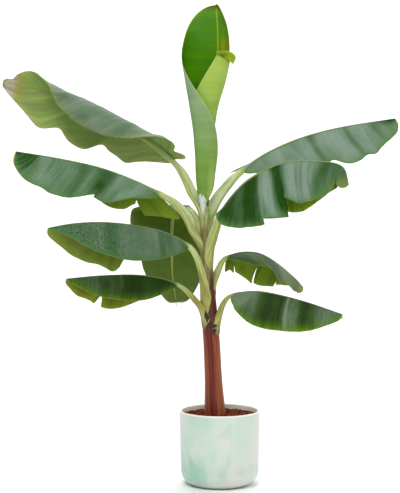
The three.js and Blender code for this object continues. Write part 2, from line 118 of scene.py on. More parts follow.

# The bands are partly the blade's own darker, waxy and brown streaks and partly painted light: shade in the
# folds, sheen and highlights on the wax, and paler under faces where a half lies in shade.
# Leaves, from the youngest to the oldest. Angles are in degrees. Lists of plain numbers run evenly from base
# to tip. petiole and midrib: [out from the stem's axis, height] in the direction of azimuth.
# limb: the petiole's widths. left and right, seen looking out along the leaf: width, droop at the rib,
# curl up to the margin, sweep of the margin, lobes [count, height over width, phase],
# bites out of the margin [place, spread, depth], tears [place, depth, gap, step between the lips],
# pieces: how far each piece between tears reaches over the width, folds [place, slant, spread, height],
# bands [place, slant, spread, tone from deep -1 to waxy 1].
# veins: how far they lean to the tip, over the blade's length. roll: turn of the blade about its midrib.
# ruffle: heights of the pleats and of the waves along the margin. looks: the pair of finishes of the blade.
# dry: where the dry tip begins and how dry it gets. rib: the rib's width over the usual one.
# rib_end: where the rib fades. twist: how far the petiole is turned about itself.
# clasp: how far the sheath reaches round the stem, on its right and on its left.
# foot: where the sheath begins, over the petiole's length. leaves_stem: where it turns away from the stem.
LEAVES = [
    dict(
        name="top_left", azimuth=168, petiole=[[6, 725], [9, 784], [20, 822], [41, 870], [66, 921]],
        midrib=[[99, 966], [179, 1028], [269, 1071], [394, 1138], [514, 1181], [633, 1210]], limb=[44, 22],
        clasp=[60, 95], twist=-25, roll=[50, 65, 65, 70, 85], ruffle=[1, 3], looks="young",
        dry=[0.83, 0.74], rib=2.1, rib_end=0.7,
        left=dict(
            width=[128, 126, 162, 174, 152, 108, 78, 62, 25], droop=[0],
            curl=[0, 62, 140, 172, 178, 176, 165, 95, 35, 10, 0],
            bites=[[0.05, 0.015, 0.4], [0.1, 0.03, -0.35], [0.95, 0.02, 0.35]],
            sweep=[-1.1, -0.15, 0.1, 0.15, 0.2, 0.2, 0.2, 0.2, 0.2, 0.2, 0.2], veins=0.1,
            bands=[[0.2, 0.1, 0.06, 0.1], [0.36, 0.1, 0.06, -0.2], [0.53, 0.1, 0.03, -0.9],
                [0.64, 0.1, 0.03, 0.9], [0.8, 0.1, 0.05, -0.2], [0.9, 0.1, 0.04, 0.4]],
        ),
        right=dict(
            width=[49, 80, 108, 90, 116, 117, 94, 118, 97, 71, 45], droop=[15, 15, 15, 10, 0], curl=[10],
            sweep=[0.1, 0.2, 0.3], bites=[[0.355, 0.036, 0.26]], veins=0.25,
            bands=[[-0.08, 0.25, 0.08, 0.3], [0.12, 0.25, 0.1, 0.4], [0.3, 0.25, 0.05, 0.3],
                [0.43, 0.25, 0.04, 0.1], [0.52, 0.25, 0.02, 0.9], [0.58, 0.25, 0.02, 0.2],
                [0.62, 0.25, 0.015, -0.8], [0.67, 0.25, 0.02, -0.7], [0.72, 0.25, 0.02, 0.8],
                [0.77, 0.25, 0.02, -0.6], [0.81, 0.25, 0.015, 0.8], [0.8, 0.25, 0.09, -0.35],
                [0.86, 0.25, 0.03, -0.5]],
        ),
    ),
    dict(
        name="top_right", azimuth=18, petiole=[[6, 705], [7, 767], [15, 815], [37, 856], [71, 898]],
        midrib=[[110, 937], [187, 989], [300, 1037], [436, 1072], [618, 1101]], limb=[46, 24],
        clasp=[105, 60], leaves_stem=(0.05, 0.45), twist=50, ruffle=[0.7, 4], looks="waxy", dry=[0.99, 0.3],
        left=dict(
            width=[110, 125, 130, 120, 90], droop=[-25, 10, 30, 35, 35, 34, 33, 32, 31, 30, 30],
            curl=[20, 30, 20], sweep=[-1, -0.1, 0.15, 0.2, 0.2, 0.2, 0.22, 0.25, 0.25, 0.25, 0.25],
            lobes=[3, 0.04, 0], folds=[[0.35, 0, 0.05, 6], [0.66, 0.02, 0.05, 6]],
        ),
        right=dict(
            width=[60, 110, 118, 112, 75], droop=[45, 55, 50], curl=[15, 20, 10], sweep=[0.1, 0.2, 0.22],
            lobes=[4, 0.05, 0],
            pieces=[[1, 1, 1, 1, 1, 1, 1, 1, 0.97, 0.95, 0.86, 0.97, 1.05, 1.1, 1.07, 1.11, 1.03, 1.04,
                1.14, 1.2, 1.05]],
            folds=[[0.45, -0.02, 0.04, 8], [0.62, 0, 0.06, 4], [0.76, 0, 0.05, 4]],
            bands=[[0.5, 0, 0.6, 0.5], [0.28, 0, 0.08, 0.1], [0.455, -0.02, 0.025, -0.7],
                [0.58, 0, 0.06, 0.35], [0.67, 0.02, 0.015, -0.4], [0.75, 0, 0.04, 0.3],
                [0.84, 0.02, 0.02, -0.3], [0.97, 0.2, 0.08, -1.5]],
        ),
    ),
    dict(
        name="mid_left", azimuth=190, petiole=[[15, 670], [31, 730], [44, 773], [66, 811], [100, 844]],
        midrib=[[138, 870], [212, 907], [315, 945], [432, 971], [562, 992]], limb=[44, 22], clasp=[60, 80],
        leaves_stem=(0.05, 0.42), twist=-30, ruffle=[0.8, 4], looks="waxy", dry=[0.99, 0.3],
        left=dict(
            width=[60, 112, 112, 120, 92], droop=[45, 55, 55], curl=[20], sweep=[0.2, 0.2, 0.25],
            lobes=[3.4, 0.08, 0.25], veins=0.06, tears=[[0.395, 0.12, 0.004, 5]],
            pieces=[[1, 1, 0.97, 0.93, 0.95], [0.94, 1.03, 1, 0.98, 1.05, 1.02, 0.98, 1.02, 1.1]],
            folds=[[0.36, 0.05, 0.035, 10], [0.53, 0.05, 0.06, 5]],
            bands=[[0.12, 0.05, 0.09, 0.7], [0.27, 0.06, 0.03, 0.4], [0.35, 0.06, 0.035, -0.45],
                [0.45, 0.06, 0.04, 0.2], [0.53, 0.06, 0.03, -0.3], [0.68, 0.06, 0.08, 0.15],
                [0.9, 0.08, 0.06, -0.4], [0.86, 0.08, 0.012, -0.7], [0.89, 0.08, 0.01, -1],
                [0.92, 0.08, 0.01, -1], [0.97, 0.08, 0.03, -0.9]],
        ),
        right=dict(
            width=[80, 108, 104, 105, 90], droop=[55, 70, 48, 40, 40], curl=[10],
            sweep=[-4.6, -0.9, -0.3, -0.1, 0.05, 0.1, 0.15, 0.18, 0.2], tears=[[0.16, 0.3, 0.012, 3]],
            pieces=[[0.82, 0.98, 1.12], [0.8, 1, 0.98, 0.76, 0.82, 0.88, 0.9, 0.95, 1]],
        ),
    ),
    dict(
        name="front_right", azimuth=-48, petiole=[[10, 625], [12, 701], [21, 740], [37, 772]],
        midrib=[[62, 811], [105, 861], [185, 915], [315, 957], [456, 959], [536, 944], [560, 895]],
        limb=[50, 24], clasp=[60, 50], twist=30, ruffle=[1.5, 4], looks="waxy", dry=[0.93, 0.22],
        left=dict(
            width=[80, 115, 145, 118, 75], droop=[30, 55, 75, 75, 75], curl=[15], sweep=[0, 0.1, 0.2],
            pieces=[[1, 1, 1, 1, 1, 1, 1, 0.96, 0.87, 0.92, 1]],
            folds=[[0.3, 0, 0.05, 6], [0.55, 0.02, 0.05, 7]],
        ),
        right=dict(
            width=[140, 155, 155, 132, 112, 95, 60], curl=[15],
            droop=[5, 40, 60, 66, 69, 70, 70, 69, 68, 66, 65], sweep=[-0.5, -0.1, 0.1, 0.2, 0.2],
            tears=[[0.36, 0.2, 0.006, 5], [0.52, 0.35, 0.01, 7]],
            pieces=[[0.4, 0.87, 1.03, 1.06, 1.1], [1.01, 1.13, 1.23],
                [0.8, 0.94, 1.08, 1.11, 1.11, 1.08, 1.04, 1.08, 1.3]],
            folds=[[0.345, 0.02, 0.03, 11], [0.46, 0.06, 0.035, -13], [0.56, 0.04, 0.04, 6],
                [0.8, -0.04, 0.04, 5]],
            bands=[[0.1, 0.02, 0.09, -1], [0.265, 0.02, 0.065, -1.1], [0.345, 0.02, 0.01, 0.4],
                [0.39, 0.03, 0.033, 1], [0.46, 0.05, 0.035, -1.4], [0.56, 0.04, 0.045, 0.9],
                [0.605, 0.03, 0.005, -0.4], [0.64, 0.03, 0.005, -0.6], [0.66, 0.03, 0.06, 0.9],
                [0.69, 0.03, 0.005, -0.4], [0.81, -0.06, 0.04, -0.5]],
        ),
    ),
    dict(
        name="back_left", azimuth=118, petiole=[[10, 630], [17, 700], [35, 745], [70, 792]],
        midrib=[[117, 822], [170, 832], [218, 812], [236, 760], [236, 690], [232, 610], [205, 528]],
        limb=[34, 18], clasp=[60, 60], ruffle=[1, 3], looks="shaded", dry=[0.985, 0.7], rib=2.4,
        left=dict(
            width=[120, 155, 132, 112, 80], droop=[5, -8, 4, 8, 10], curl=[10], sweep=[0, 0.05, 0.25],
            bands=[[0.4, 0, 0.12, -0.8], [0.62, 0, 0.06, 0.2], [0.85, 0, 0.15, 0.9]],
        ),
        right=dict(
            width=[90, 111, 115, 105, 80], droop=[40, 15, 10], curl=[10], sweep=[-0.5, 0.1, 0.25],
            bands=[[0.4, 0, 0.12, -0.6], [0.6, 0, 0.1, 0.2], [0.85, 0, 0.15, 0.9]],
        ),
    ),
    dict(
        name="back_right", azimuth=28, petiole=[[16, 555], [22, 603], [32, 640]],
        midrib=[[57, 676], [110, 692], [173, 688], [233, 659], [300, 610], [334, 578]], limb=[32, 16],
        clasp=[70, 50], ruffle=[1.2, 3], looks="torn", dry=[0.86, 0.36],
        left=dict(
            width=[95, 92, 98, 70, 30], droop=[55, 60, 60], curl=[15],
            sweep=[-0.6, 0, 0.2, 0.22, 0.2, 0.2, 0.2, 0.2, 0.25, 0.54, 1.1],
            bands=[[0.05, 0, 0.06, -1.3], [0.3, 0, 0.07, 0.4], [0.48, 0, 0.02, -0.9], [0.6, 0, 0.07, 0.5]],
            tears=[[0.11, 0.45, 0.012, 4], [0.44, 0.55, 0.03, 4], [0.72, 0.25, 0.015, 3]],
            pieces=[[0.8, 1.05, 0.9, 1.05], [1.02, 1.18, 1.16, 1.02], [0.95, 0.93],
                [0.85, 0.8, 0.78, 0.75, 1.05, 1.1, 1.1]],
        ),
        right=dict(
            width=[60, 105, 95, 75, 55], droop=[20, 25, 40], curl=[20], sweep=[0.2],
            pieces=[[1, 1, 0.9, 0.8, 0.85, 1.2, 1.1, 1, 1.05, 1.2, 1.1]],
            folds=[[0.3, 0.03, 0.05, 5], [0.5, 0.04, 0.04, -5]],
            bands=[[0.25, 0, 0.05, 0.3], [0.45, 0, 0.05, -0.4], [0.72, 0, 0.14, 0.8]],
        ),
    ),
    dict(
        name="front_left", azimuth=212, petiole=[[17, 520], [20, 600], [27, 645], [46, 688]],
        midrib=[[72, 716], [115, 743], [200, 770], [330, 788], [440, 788], [530, 776]], limb=[38, 19],
        clasp=[60, 85], twist=-30, foot=-0.3, ruffle=[0.9, 2], looks="deep", dry=[0.99, 0.3],
        left=dict(
            width=[75, 112, 118, 90, 18], droop=[45, 50, 45], curl=[20], sweep=[-0.1, 0.1, 0.2],
            bands=[[0.1, 0, 0.07, 0.5], [0.23, 0, 0.025, -0.2], [0.33, 0, 0.1, 0.55], [0.5, 0, 0.06, 0.5],
                [0.68, 0, 0.08, 0.4], [0.85, 0, 0.15, 0.05]],
        ),
        right=dict(
            width=[60, 80, 135, 125, 48], droop=[40, 50, 75, 75, 65], curl=[10], sweep=[0, 0.1, 0.2],
            tears=[[0.375, 0.5, 0.03, 3]],
            pieces=[[0.84, 0.84, 0.8], [1.14, 1.1, 0.97, 0.9, 0.92, 0.94, 1.03, 1.15, 1.25]],
            bands=[[0.5, 0, 0.08, -0.7], [0.92, 0, 0.25, 0.9]],
        ),
    ),
    dict(
        name="low_left", azimuth=198, petiole=[[22, 455], [28, 505], [43, 544], [71, 577]],
        midrib=[[104, 602], [148, 619], [230, 632], [340, 632], [440, 625]], limb=[30, 15], clasp=[60, 80],
        ruffle=[0.8, 2], looks="old", dry=[0.99, 0.4],
        left=dict(
            width=[60, 88, 82, 66, 28], droop=[50], curl=[20], sweep=[0.15, 0.2, 0.2],
            bands=[[0.15, 0, 0.08, -0.3], [0.38, 0, 0.08, -0.6], [0.6, 0, 0.08, 0.1], [0.8, 0, 0.1, 0.2]],
        ),
        right=dict(
            width=[45, 85, 100, 72, 25], droop=[50, 70, 75, 70, 60], curl=[10], sweep=[0.15, 0.2, 0.25],
            bands=[[0.42, 0, 0.1, 0.5], [0.56, 0, 0.04, -0.3], [0.64, 0, 0.03, 0.7], [0.72, 0, 0.035, 0.8],
                [0.9, 0, 0.1, -0.3]],
            tears=[[0.66, 0.35, 0.03, 3]], pieces=[[1, 1, 1, 1.1], [1.12, 1.12, 1.22, 1.45, 1.55, 1.6]],
        ),
    ),
    dict(
        name="low_right", azimuth=-25, petiole=[[19, 420], [21, 482], [27, 519], [41, 549]],
        midrib=[[60, 567], [95, 579], [169, 582], [288, 560], [410, 526]], limb=[30, 15], clasp=[85, 50],
        foot=0.1, ruffle=[1.2, 2], looks="old", dry=[0.985, 0.5],
        left=dict(
            width=[60, 100, 105, 85, 50], droop=[30, 40, 40], curl=[20], sweep=[0.15, 0.2, 0.2],
            folds=[[0.4, 0, 0.06, 5], [0.7, 0, 0.05, 4]],
        ),
        right=dict(
            width=[80, 112, 104, 92, 50], droop=[50, 60, 60], curl=[15], sweep=[-0.35, 0.15, 0.2],
            pieces=[[0.8, 0.95, 1.01, 1.01, 0.95, 0.95, 1]],
            folds=[[0.3, 0, 0.07, -6], [0.49, 0.01, 0.03, 9], [0.66, 0.01, 0.05, -6]],
            bands=[[0.16, -0.2, 0.1, 1.4], [0.38, 0, 0.08, -0.9], [0.48, 0.01, 0.02, -0.5],
                [0.53, 0.01, 0.018, 1], [0.585, 0, 0.03, 0.35], [0.69, 0, 0.045, -0.8],
                [0.9, 0, 0.09, 0.75]],
        ),
    ),
]

BLADE = {
    "columns": 190,
    "rows": 26,
    "thickness": 0.9,
    "ends": 0.35,  # power by which the width closes at both ends
    "whole": 0.45,  # share of the width that all pieces of a torn half have
    "pleats": (11, 4.5),  # lengths of the coarse and the fine ones
    "waves": 34,  # their length along the margin
    "margin": 14,  # reach of the tint near it
    "loose_bands": 7,  # faint bands on each half besides its own
}

# Sections of a limb as (sideways, up) over its half-width, round from the right side under the belly to the
# left side and back over the channel: clasping the stem, free, and as the rib of a blade.
SECTIONS = {
    "sheath": [(1, 0), (0.7, -0.72), (0, -1), (-0.7, -0.72), (-1, 0), (-0.93, 0.55), (-0.62, 0.35), (0, 0.02),
               (0.62, 0.35), (0.93, 0.55)],
    "channel": [(1, 0), (0.7, -0.72), (0, -1), (-0.7, -0.72), (-1, 0), (-0.8, 0.58), (-0.5, 0.3), (0, -0.05),
                (0.5, 0.3), (0.8, 0.58)],
    "rib": [(1, -0.1), (0.66, -0.78), (0, -1.05), (-0.66, -0.78), (-1, -0.1), (-0.8, 0.14), (-0.45, 0.02),
            (0, -0.12), (0.45, 0.02), (0.8, 0.14)],
}
LIMB = {
    "sides": 48,
    "petiole_rings": 44,
    "rib_rings": 90,
    "foot_taper": 0.4,
    "sheath": 4,
    "lips": (0.47, 0.94),  # places of the channel's two edges round the section
    "pale_ribs": ("young", "waxy"),  # looks whose ribs stay pale on top
    "pale_rib": 0.55,  # their mask there
}

# The rolled new leaf, with lists that run evenly from its foot up.
SPEAR = {
    "top": 1431,
    "axis": [-43, -46, -43, -45, -44, -38, -35, -33, -34],
    "radii": [15, 21.5, 27.5, 31, 42, 59, 70, 66, 57],
    "depth": 0.65,
    "rib_angle": [130, 120, 105, 92, 82, 72, 66, 66, 66],
    "left": [28, 72, 102, 104, 114, 126, 120, 106, 88],
    "right": [20, 68, 106, 141, 154, 153, 142, 118, 76],
    "lip": 0.758,  # height at which the right half is cut back and curls out
    "above_lip": 0.52,  # share of the right half's width that goes on above the lip
    "layer": 8,
    "full_layer": 22,
    "columns": 170,
    "rows": 40,
    "tip_round": 6,
    "thickness": 1.2,
}

# The corner of the new leaf that curls out over the mouth of the roll. Its lists run from front to right.
LIP = {
    "reach": (0.97, 0.33),  # shares of the right half's width
    "heights": [0.758, 0.755, 0.742, 0.728],
    "radii": [3.5, 5.5, 7.5, 9],
    "flap": [6, 15, 19, 19, 9],
    "turn": 205,
    "columns": 44,
    "rows": 22,
}

# Scraps on the stem: name, finish, [degrees, height], size [degrees, height], lift at foot and top.
SCRAPS = [
    ("papery_sheath", "papery", [256, 838], [62, 66], [7, 13]),
    ("withered_sheath_left", "withered", [250, 505], [34, 28], [4, 5.5]),
    ("withered_sheath_right", "withered", [284, 478], [70, 12], [4.5, 6.5]),
    ("withered_sheath_low", "withered", [292, 460], [30, 16], [4, 5]),
]
SCRAP = {"columns": 25, "rows": 17, "thickness": 0.8}
THREADS = {"leaf": "back_left", "reaches": [24, 44, 36], "radius": 0.8, "spread": 6, "rings": 18, "sides": 6}


# Curves

def cubic(a, b, c, d, t):
    """The smooth curve through evenly spaced a, b, c and d, between b and c."""
    before, after = (c - a) / 2, (d - b) / 2
    bend = 2 * b - 2 * c + before + after
    return ((bend * t + 3 * c - 3 * b - 2 * before - after) * t + before) * t + b


def along(values, s):
    """The value at s, from 0 to 1, of a smooth curve through evenly spaced values."""
    v = np.array(values, float)
    if len(v) == 1:
        return np.full(np.shape(s), v[0])
    t = np.clip(s, 0, 1) * (len(v) - 1)
    i = np.minimum(np.array(t, int), len(v) - 2)
    p = np.concatenate([v[:1], v, v[-1:]])
    return cubic(p[i], p[i + 1], p[i + 2], p[i + 3], t - i)


def wander(t, seed):
    """Smooth noise from about -1 to 1, along one line."""
    knots = np.random.default_rng(seed).uniform(-1, 1, 256)
    i = np.floor(t).astype(int)
    return cubic(*(knots[(i + k) % 256] for k in (-1, 0, 1, 2)), t - i)


def ramp(low, high, x):
    """0 below low, 1 above high and smooth between."""
    t = np.clip((x - low) / (high - low), 0, 1)
    return t * t * (3 - 2 * t)


def bell(x, spread):
    """1 at 0, falling off to both sides."""
    return np.exp(-((x / spread) ** 2))


def crowded(count):
    """Steps from 0 to 1, closer together at both ends."""
    x = np.linspace(0, 1, count + 1)
    return x - 0.1 * np.sin(2 * np.pi * x)


def circle(count, turn=2 * np.pi):
    """Angles all the way round."""
    return np.linspace(0, turn, count, endpoint=False)


def stacked(*parts):
    """Parts of any matching shapes, side by side in the last axis."""
    return np.stack(np.broadcast_arrays(*parts), -1)


def outward(angle):
    return stacked(np.cos(angle), np.sin(angle), 0)


def stem_axis(z):
    x = STEM["foot"][0] - (z - GROUND) * math.tan(math.radians(STEM["lean"]))
    return stacked(x + STEM["bow"] * (1 - ramp(*STEM["bow_fades"], z)), STEM["foot"][1], z)


class Rail:
    """A line through space, with its places from 0 to 1."""

    def __init__(self, points, forwards):
        reach = np.concatenate([[0], np.cumsum(np.linalg.norm(np.diff(points, axis=0), axis=1))])
        self.length = reach[-1]
        self.places = reach / reach[-1]
        self.columns = np.hstack([points, forwards]).T

    def at(self, s):
        """The point and the direction at s."""
        values = np.stack([np.interp(s, self.places, column) for column in self.columns], -1)
        return values[..., :3], values[..., 3:]


def rails_of(leaf):
    """The leaf's petiole and midrib: one smooth line in its vertical plane, split where the blade begins."""
    azimuth = math.radians(leaf["azimuth"])
    knots = np.array(leaf["petiole"] + leaf["midrib"], float)
    knots = np.vstack([2 * knots[0] - knots[1], knots, 2 * knots[-1] - knots[-2]])
    steps = 40
    t = np.arange(steps)[:, None] / steps
    spans = [cubic(*knots[i:i + 4], t) for i in range(len(knots) - 3)]
    out, height = np.vstack(spans + [knots[-2:-1]]).T
    root = stem_axis(leaf["petiole"][0][1])
    points = stacked(root[0] + out * math.cos(azimuth), root[1] + out * math.sin(azimuth), height)
    forwards = np.gradient(points, axis=0)
    forwards /= np.linalg.norm(forwards, axis=1, keepdims=True)
    split = steps * len(leaf["petiole"])
    return Rail(points[:split + 1], forwards[:split + 1]), Rail(points[split:], forwards[split:])


def directions(leaf, forward, roll):
    """Left of a leaf's line and out of its upper side, where it points forward and is turned by roll."""
    azimuth = math.radians(leaf["azimuth"])
    level = np.broadcast_to([-math.sin(azimuth), math.cos(azimuth), 0], forward.shape)
    turn = np.radians(roll)[..., None]
    left = level * np.cos(turn) + np.cross(forward, level) * np.sin(turn)
    return left, np.cross(forward, left)


# Meshes

def mesh_object(name, points, faces, uv=None, masks=None):
    """A smooth mesh object from points in millimetres.

    uv is the place on the surface, as two parts in millimetres. masks are three parts from 0 to 1.
    """
    points = np.asarray(points, float)
    mesh = bpy.data.meshes.new(name)
    mesh.from_pydata((points.reshape(-1, 3) * MM).tolist(), [], [list(face) for face in faces])
    mesh.shade_smooth()

    def per_point(parts):
        shape = (*points.shape[:-1], len(parts))
        return np.broadcast_to(stacked(*parts), shape).reshape(-1, len(parts))

    if uv is not None:
        corners = np.zeros(len(mesh.loops), np.int32)
        mesh.loops.foreach_get("vertex_index", corners)
        places = (per_point(uv) / DECIMETRE).astype(np.float32)
        mesh.uv_layers.new(name="place").data.foreach_set("uv", places[corners].ravel())
    if masks is not None:
        colours = per_point((*masks, 1)).astype(np.float32)
        mesh.color_attributes.new("mask", "FLOAT_COLOR", "POINT").data.foreach_set("color", colours.ravel())
    obj = bpy.data.objects.new(name, mesh)
    bpy.context.scene.collection.objects.link(obj)
    return obj


def add_piece(obj, finishes, nodes=(), thickness=None):
    """Puts an object on the plant.

    A sheet gets its thickness away from its upper face. Its under face and rim take the next finishes.
    """
    for finish in finishes:
        obj.data.materials.append(FINISHES[finish])
    if thickness:
        solid = obj.modifiers.new("thickness", "SOLIDIFY")
        solid.thickness = thickness * MM
        solid.offset = -1
        solid.material_offset = 1
        solid.material_offset_rim = 2
    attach(obj, "root")
    if nodes:
        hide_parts(*nodes)


def tube_faces(rings, sides, first=0):
    """Quads round a row of closed rings."""
    i, j = np.meshgrid(np.arange(rings - 1), np.arange(sides), indexing="ij")
    a, b = first + i * sides + j, first + i * sides + (j + 1) % sides
    return np.stack([a, b, b + sides, a + sides], -1).reshape(-1, 4).tolist()


def sheet_faces(columns, rows):
    """Quads of an open sheet."""
    i, j = np.meshgrid(np.arange(columns - 1), np.arange(rows - 1), indexing="ij")
    a = i * rows + j
    return np.stack([a, a + 1, a + rows + 1, a + rows], -1).reshape(-1, 4)


# Nodes of the finishes

class Value:
    """What a node gives, with short calls for what is made of it."""

    def __init__(self, finish, socket):
        self.finish = finish
        self.socket = socket

    def __add__(self, other):
        return self.finish.add("ShaderNodeMath", 0, {0: self, 1: other}, operation="ADD")

    def __mul__(self, other):
        return self.finish.add("ShaderNodeMath", 0, {0: self, 1: other}, operation="MULTIPLY")

    def ramp(self, *stops):
        """A ramp from (place, grey or colour) stops."""
        value = self.finish.add("ShaderNodeValToRGB", "Color", {"Fac": self})
        elements = value.socket.node.color_ramp.elements
        while len(elements) < len(stops):
            elements.new(0.5)
        for element, (place, colour) in zip(elements, stops):
            element.position = place
            element.color = (*np.broadcast_to(colour, 3), 1)
        return value

    def shades(self, low, high, *colours):
        """A ramp of evenly spaced colours."""
        return self.ramp(*zip(np.linspace(low, high, len(colours)), colours))

    def tint(self, other, factor):
        """This colour with a share of another one over it."""
        return self.finish.mix(factor, self, other)


class Finish:
    """A material on the Principled shader, with short calls for the nodes that drive it."""

    def __init__(self, name, **constants):
        self.material = bpy.data.materials.new(name)
        self.material.use_nodes = True
        self.tree = self.material.node_tree
        self.shader = self.tree.nodes["Principled BSDF"]
        self.give(self.shader, {socket.replace("_", " "): value for socket, value in constants.items()})

    def give(self, node, inputs):
        """Sets a node's inputs, or links what other nodes give to them."""
        for key, value in inputs.items():
            if isinstance(value, Value):
                self.tree.links.new(value.socket, node.inputs[key])
            else:
                node.inputs[key].default_value = value

    def add(self, kind, output, inputs, **settings):
        """What a new node gives at one of its outputs."""
        node = self.tree.nodes.new(kind)
        for key, value in settings.items():
            setattr(node, key, value)
        self.give(node, inputs)
        return Value(self, node.outputs[output])

    def place(self):
        """The place on the surface, in decimetres."""
        return self.add("ShaderNodeUVMap", "UV", {}, uv_map="place")

    def room(self):
        """The place in the object's own space, in metres."""
        return self.add("ShaderNodeTexCoord", "Object", {})

    def reach(self):
        """The place along the surface, in metres."""
        return self.add("ShaderNodeSeparateXYZ", "X", {"Vector": self.place()}) * 0.1

    def height(self):
        return self.add("ShaderNodeSeparateXYZ", "Z", {"Vector": self.room()})

    def mask(self, channel):
        colour = self.add("ShaderNodeAttribute", "Color", {}, attribute_name="mask")
        return self.add("ShaderNodeSeparateColor", channel, {"Color": colour})

    def noise(self, *scale, detail=3, rough=0.55, warp=0):
        """Noise over the surface, with two scales, or through the room, with three."""
        here = self.place() if len(scale) == 2 else self.room()
        here = self.add("ShaderNodeMapping", "Vector", {"Vector": here, "Scale": (*scale, 1)[:3]})
        inputs = {"Vector": here, "Scale": 1, "Detail": detail, "Roughness": rough, "Distortion": warp}
        return self.add("ShaderNodeTexNoise", "Fac", inputs)

    def mix(self, factor, *pair):
        """The first of two colours with a share of the second one over it."""
        a, b = ((*colour, 1) if isinstance(colour, tuple) else colour for colour in pair)
        return self.add("ShaderNodeMix", 2, {0: factor, 6: a, 7: b}, data_type="RGBA")

    def done(self, colour, relief=None, depth=0.5, strength=0.5, roughness=None):
        """The material, with what varies linked to its shader. depth is the relief's depth in millimetres."""
        inputs = {"Base Color": colour}
        if roughness is not None:
            inputs["Roughness"] = roughness
        if relief is not None:
            bump = {"Height": relief, "Distance": depth * MM, "Strength": strength}
            inputs["Normal"] = self.add("ShaderNodeBump", "Normal", bump)
        self.give(self.shader, inputs)
        return self.material


# Linear colours. upper: in the deep bands with their painted shade, between them, and under the wax with its
# bloom and painted sheen. edge: near the margin. under: between veins, on veins and in brown patches.
# speckle: share of dark specks on the upper face.
LEAF_COLOURS = {
    "young": {
        "upper": [(0.04, 0.09, 0.035), (0.12, 0.18, 0.112), (0.27, 0.32, 0.25)], "speckle": 0.1,
        "under": [(0.16, 0.285, 0.055), (0.33, 0.4, 0.13), (0.19, 0.175, 0.08)], "edge": (0.2, 0.26, 0.1),
    },
    "waxy": {
        "upper": [(0.012, 0.055, 0.004), (0.078, 0.155, 0.068), (0.21, 0.29, 0.225)], "speckle": 0.15,
        "under": [(0.1, 0.195, 0.008), (0.21, 0.3, 0.025), (0.13, 0.15, 0.014)], "edge": (0.09, 0.2, 0.05),
    },
    "deep": {
        "upper": [(0.012, 0.05, 0.008), (0.05, 0.11, 0.045), (0.14, 0.2, 0.135)], "speckle": 0.8,
        "under": [(0.1, 0.165, 0.012), (0.2, 0.27, 0.04), (0.115, 0.115, 0.022)], "edge": (0.06, 0.15, 0.04),
    },
    "shaded": {
        "upper": [(0.02, 0.06, 0.02), (0.06, 0.11, 0.06), (0.14, 0.2, 0.16)], "speckle": 0.2,
        "under": [(0.085, 0.15, 0.011), (0.115, 0.18, 0.045), (0.058, 0.1, 0.003)],
        "edge": (0.06, 0.13, 0.04),
    },
    "torn": {
        "upper": [(0.014, 0.045, 0.008), (0.042, 0.088, 0.027), (0.125, 0.175, 0.085)], "speckle": 0.3,
        "under": [(0.13, 0.21, 0.008), (0.2, 0.29, 0.02), (0.035, 0.06, 0.006)], "edge": (0.1, 0.18, 0.02),
    },
    "old": {
        "upper": [(0.017, 0.04, 0.006), (0.034, 0.082, 0.015), (0.15, 0.21, 0.135)], "speckle": 0.3,
        "under": [(0.07, 0.125, 0.008), (0.25, 0.29, 0.02), (0.1, 0.1, 0.015)], "edge": (0.11, 0.22, 0.006),
    },
}
MARGIN_COLOUR = (0.3, 0.36, 0.14)
DRY_COLOURS = (0.24, 0.19, 0.13), (0.55, 0.49, 0.36)
YELLOWED_COLOUR = (0.27, 0.27, 0.06)
DEAD_COLOUR = (0.04, 0.03, 0.028)
BROWNED_COLOUR = (0.1, 0.065, 0.006)
DULL = 0.05  # specular level of the leaves and the soil


# Finishes of the leaves

def veins_of(finish):
    """Fine ribs that run from the midrib to the margin."""
    return finish.noise(26, 0.35, detail=4, rough=0.6)


def blade_edges(finish, colour, streaks, edge):
    """The colour with the tint near the margin, its pale line and the dry parts."""
    near, dryness = finish.mask("Red"), finish.mask("Green")
    colour = colour.tint(edge, near.ramp((0.1, 0), (0.85, 1)) * streaks.ramp((0, 0.4), (0.7, 1)))
    colour = colour.tint(MARGIN_COLOUR, near.ramp((0.88, 0), (0.97, 0.35)))
    dry = streaks.shades(0.2, 0.8, *DRY_COLOURS)
    dry = finish.mix(dryness.ramp((0.3, 0), (0.55, 1)), YELLOWED_COLOUR, dry)
    dry = dry.tint(DEAD_COLOUR, dryness.ramp((0.7, 0), (0.78, 0.9)))
    return colour.tint(dry, dryness.ramp((0, 0), (0.45, 0.9)))


def upper_finish(kind):
    looks = LEAF_COLOURS[kind]
    deep, _, wax_and_sheen = looks["upper"]
    finish = Finish(f"leaf_upper_{kind}", Specular_IOR_Level=DULL)
    streaks = finish.noise(9, 0.5, detail=5, rough=0.62).ramp((0.35, 0), (0.65, 1))
    patches = finish.noise(1.3, 1).ramp((0.34, 0), (0.66, 1))
    specks = finish.noise(17, 11, detail=4, rough=0.75)
    veins = veins_of(finish)
    # tone: the bands and broad patches, from deep green with painted shade to the wax colour with painted
    # sheen.
    tone = finish.mask("Blue") * 0.72 + patches * 0.17 + streaks * 0.09
    colour = tone.shades(0.18, 0.8, *looks["upper"])
    spotted = patches.ramp((0, 0.25), (0.7, 1)) * finish.reach().ramp((0.18, 0.25), (0.34, 1))
    colour = colour.tint(deep, specks.ramp((0.5, 0), (0.56, looks["speckle"])) * spotted)
    colour = colour.tint(wax_and_sheen, specks.ramp((0.4, 0.55 * looks["speckle"]), (0.46, 0)) * spotted)
    colour = colour.tint(wax_and_sheen, veins.ramp((0.5, 0), (0.72, 0.1)))
    colour = blade_edges(finish, colour, streaks, looks["edge"])
    return finish.done(colour, veins, depth=0.6, strength=0.4, roughness=patches.ramp((0, 0.33), (1, 0.47)))


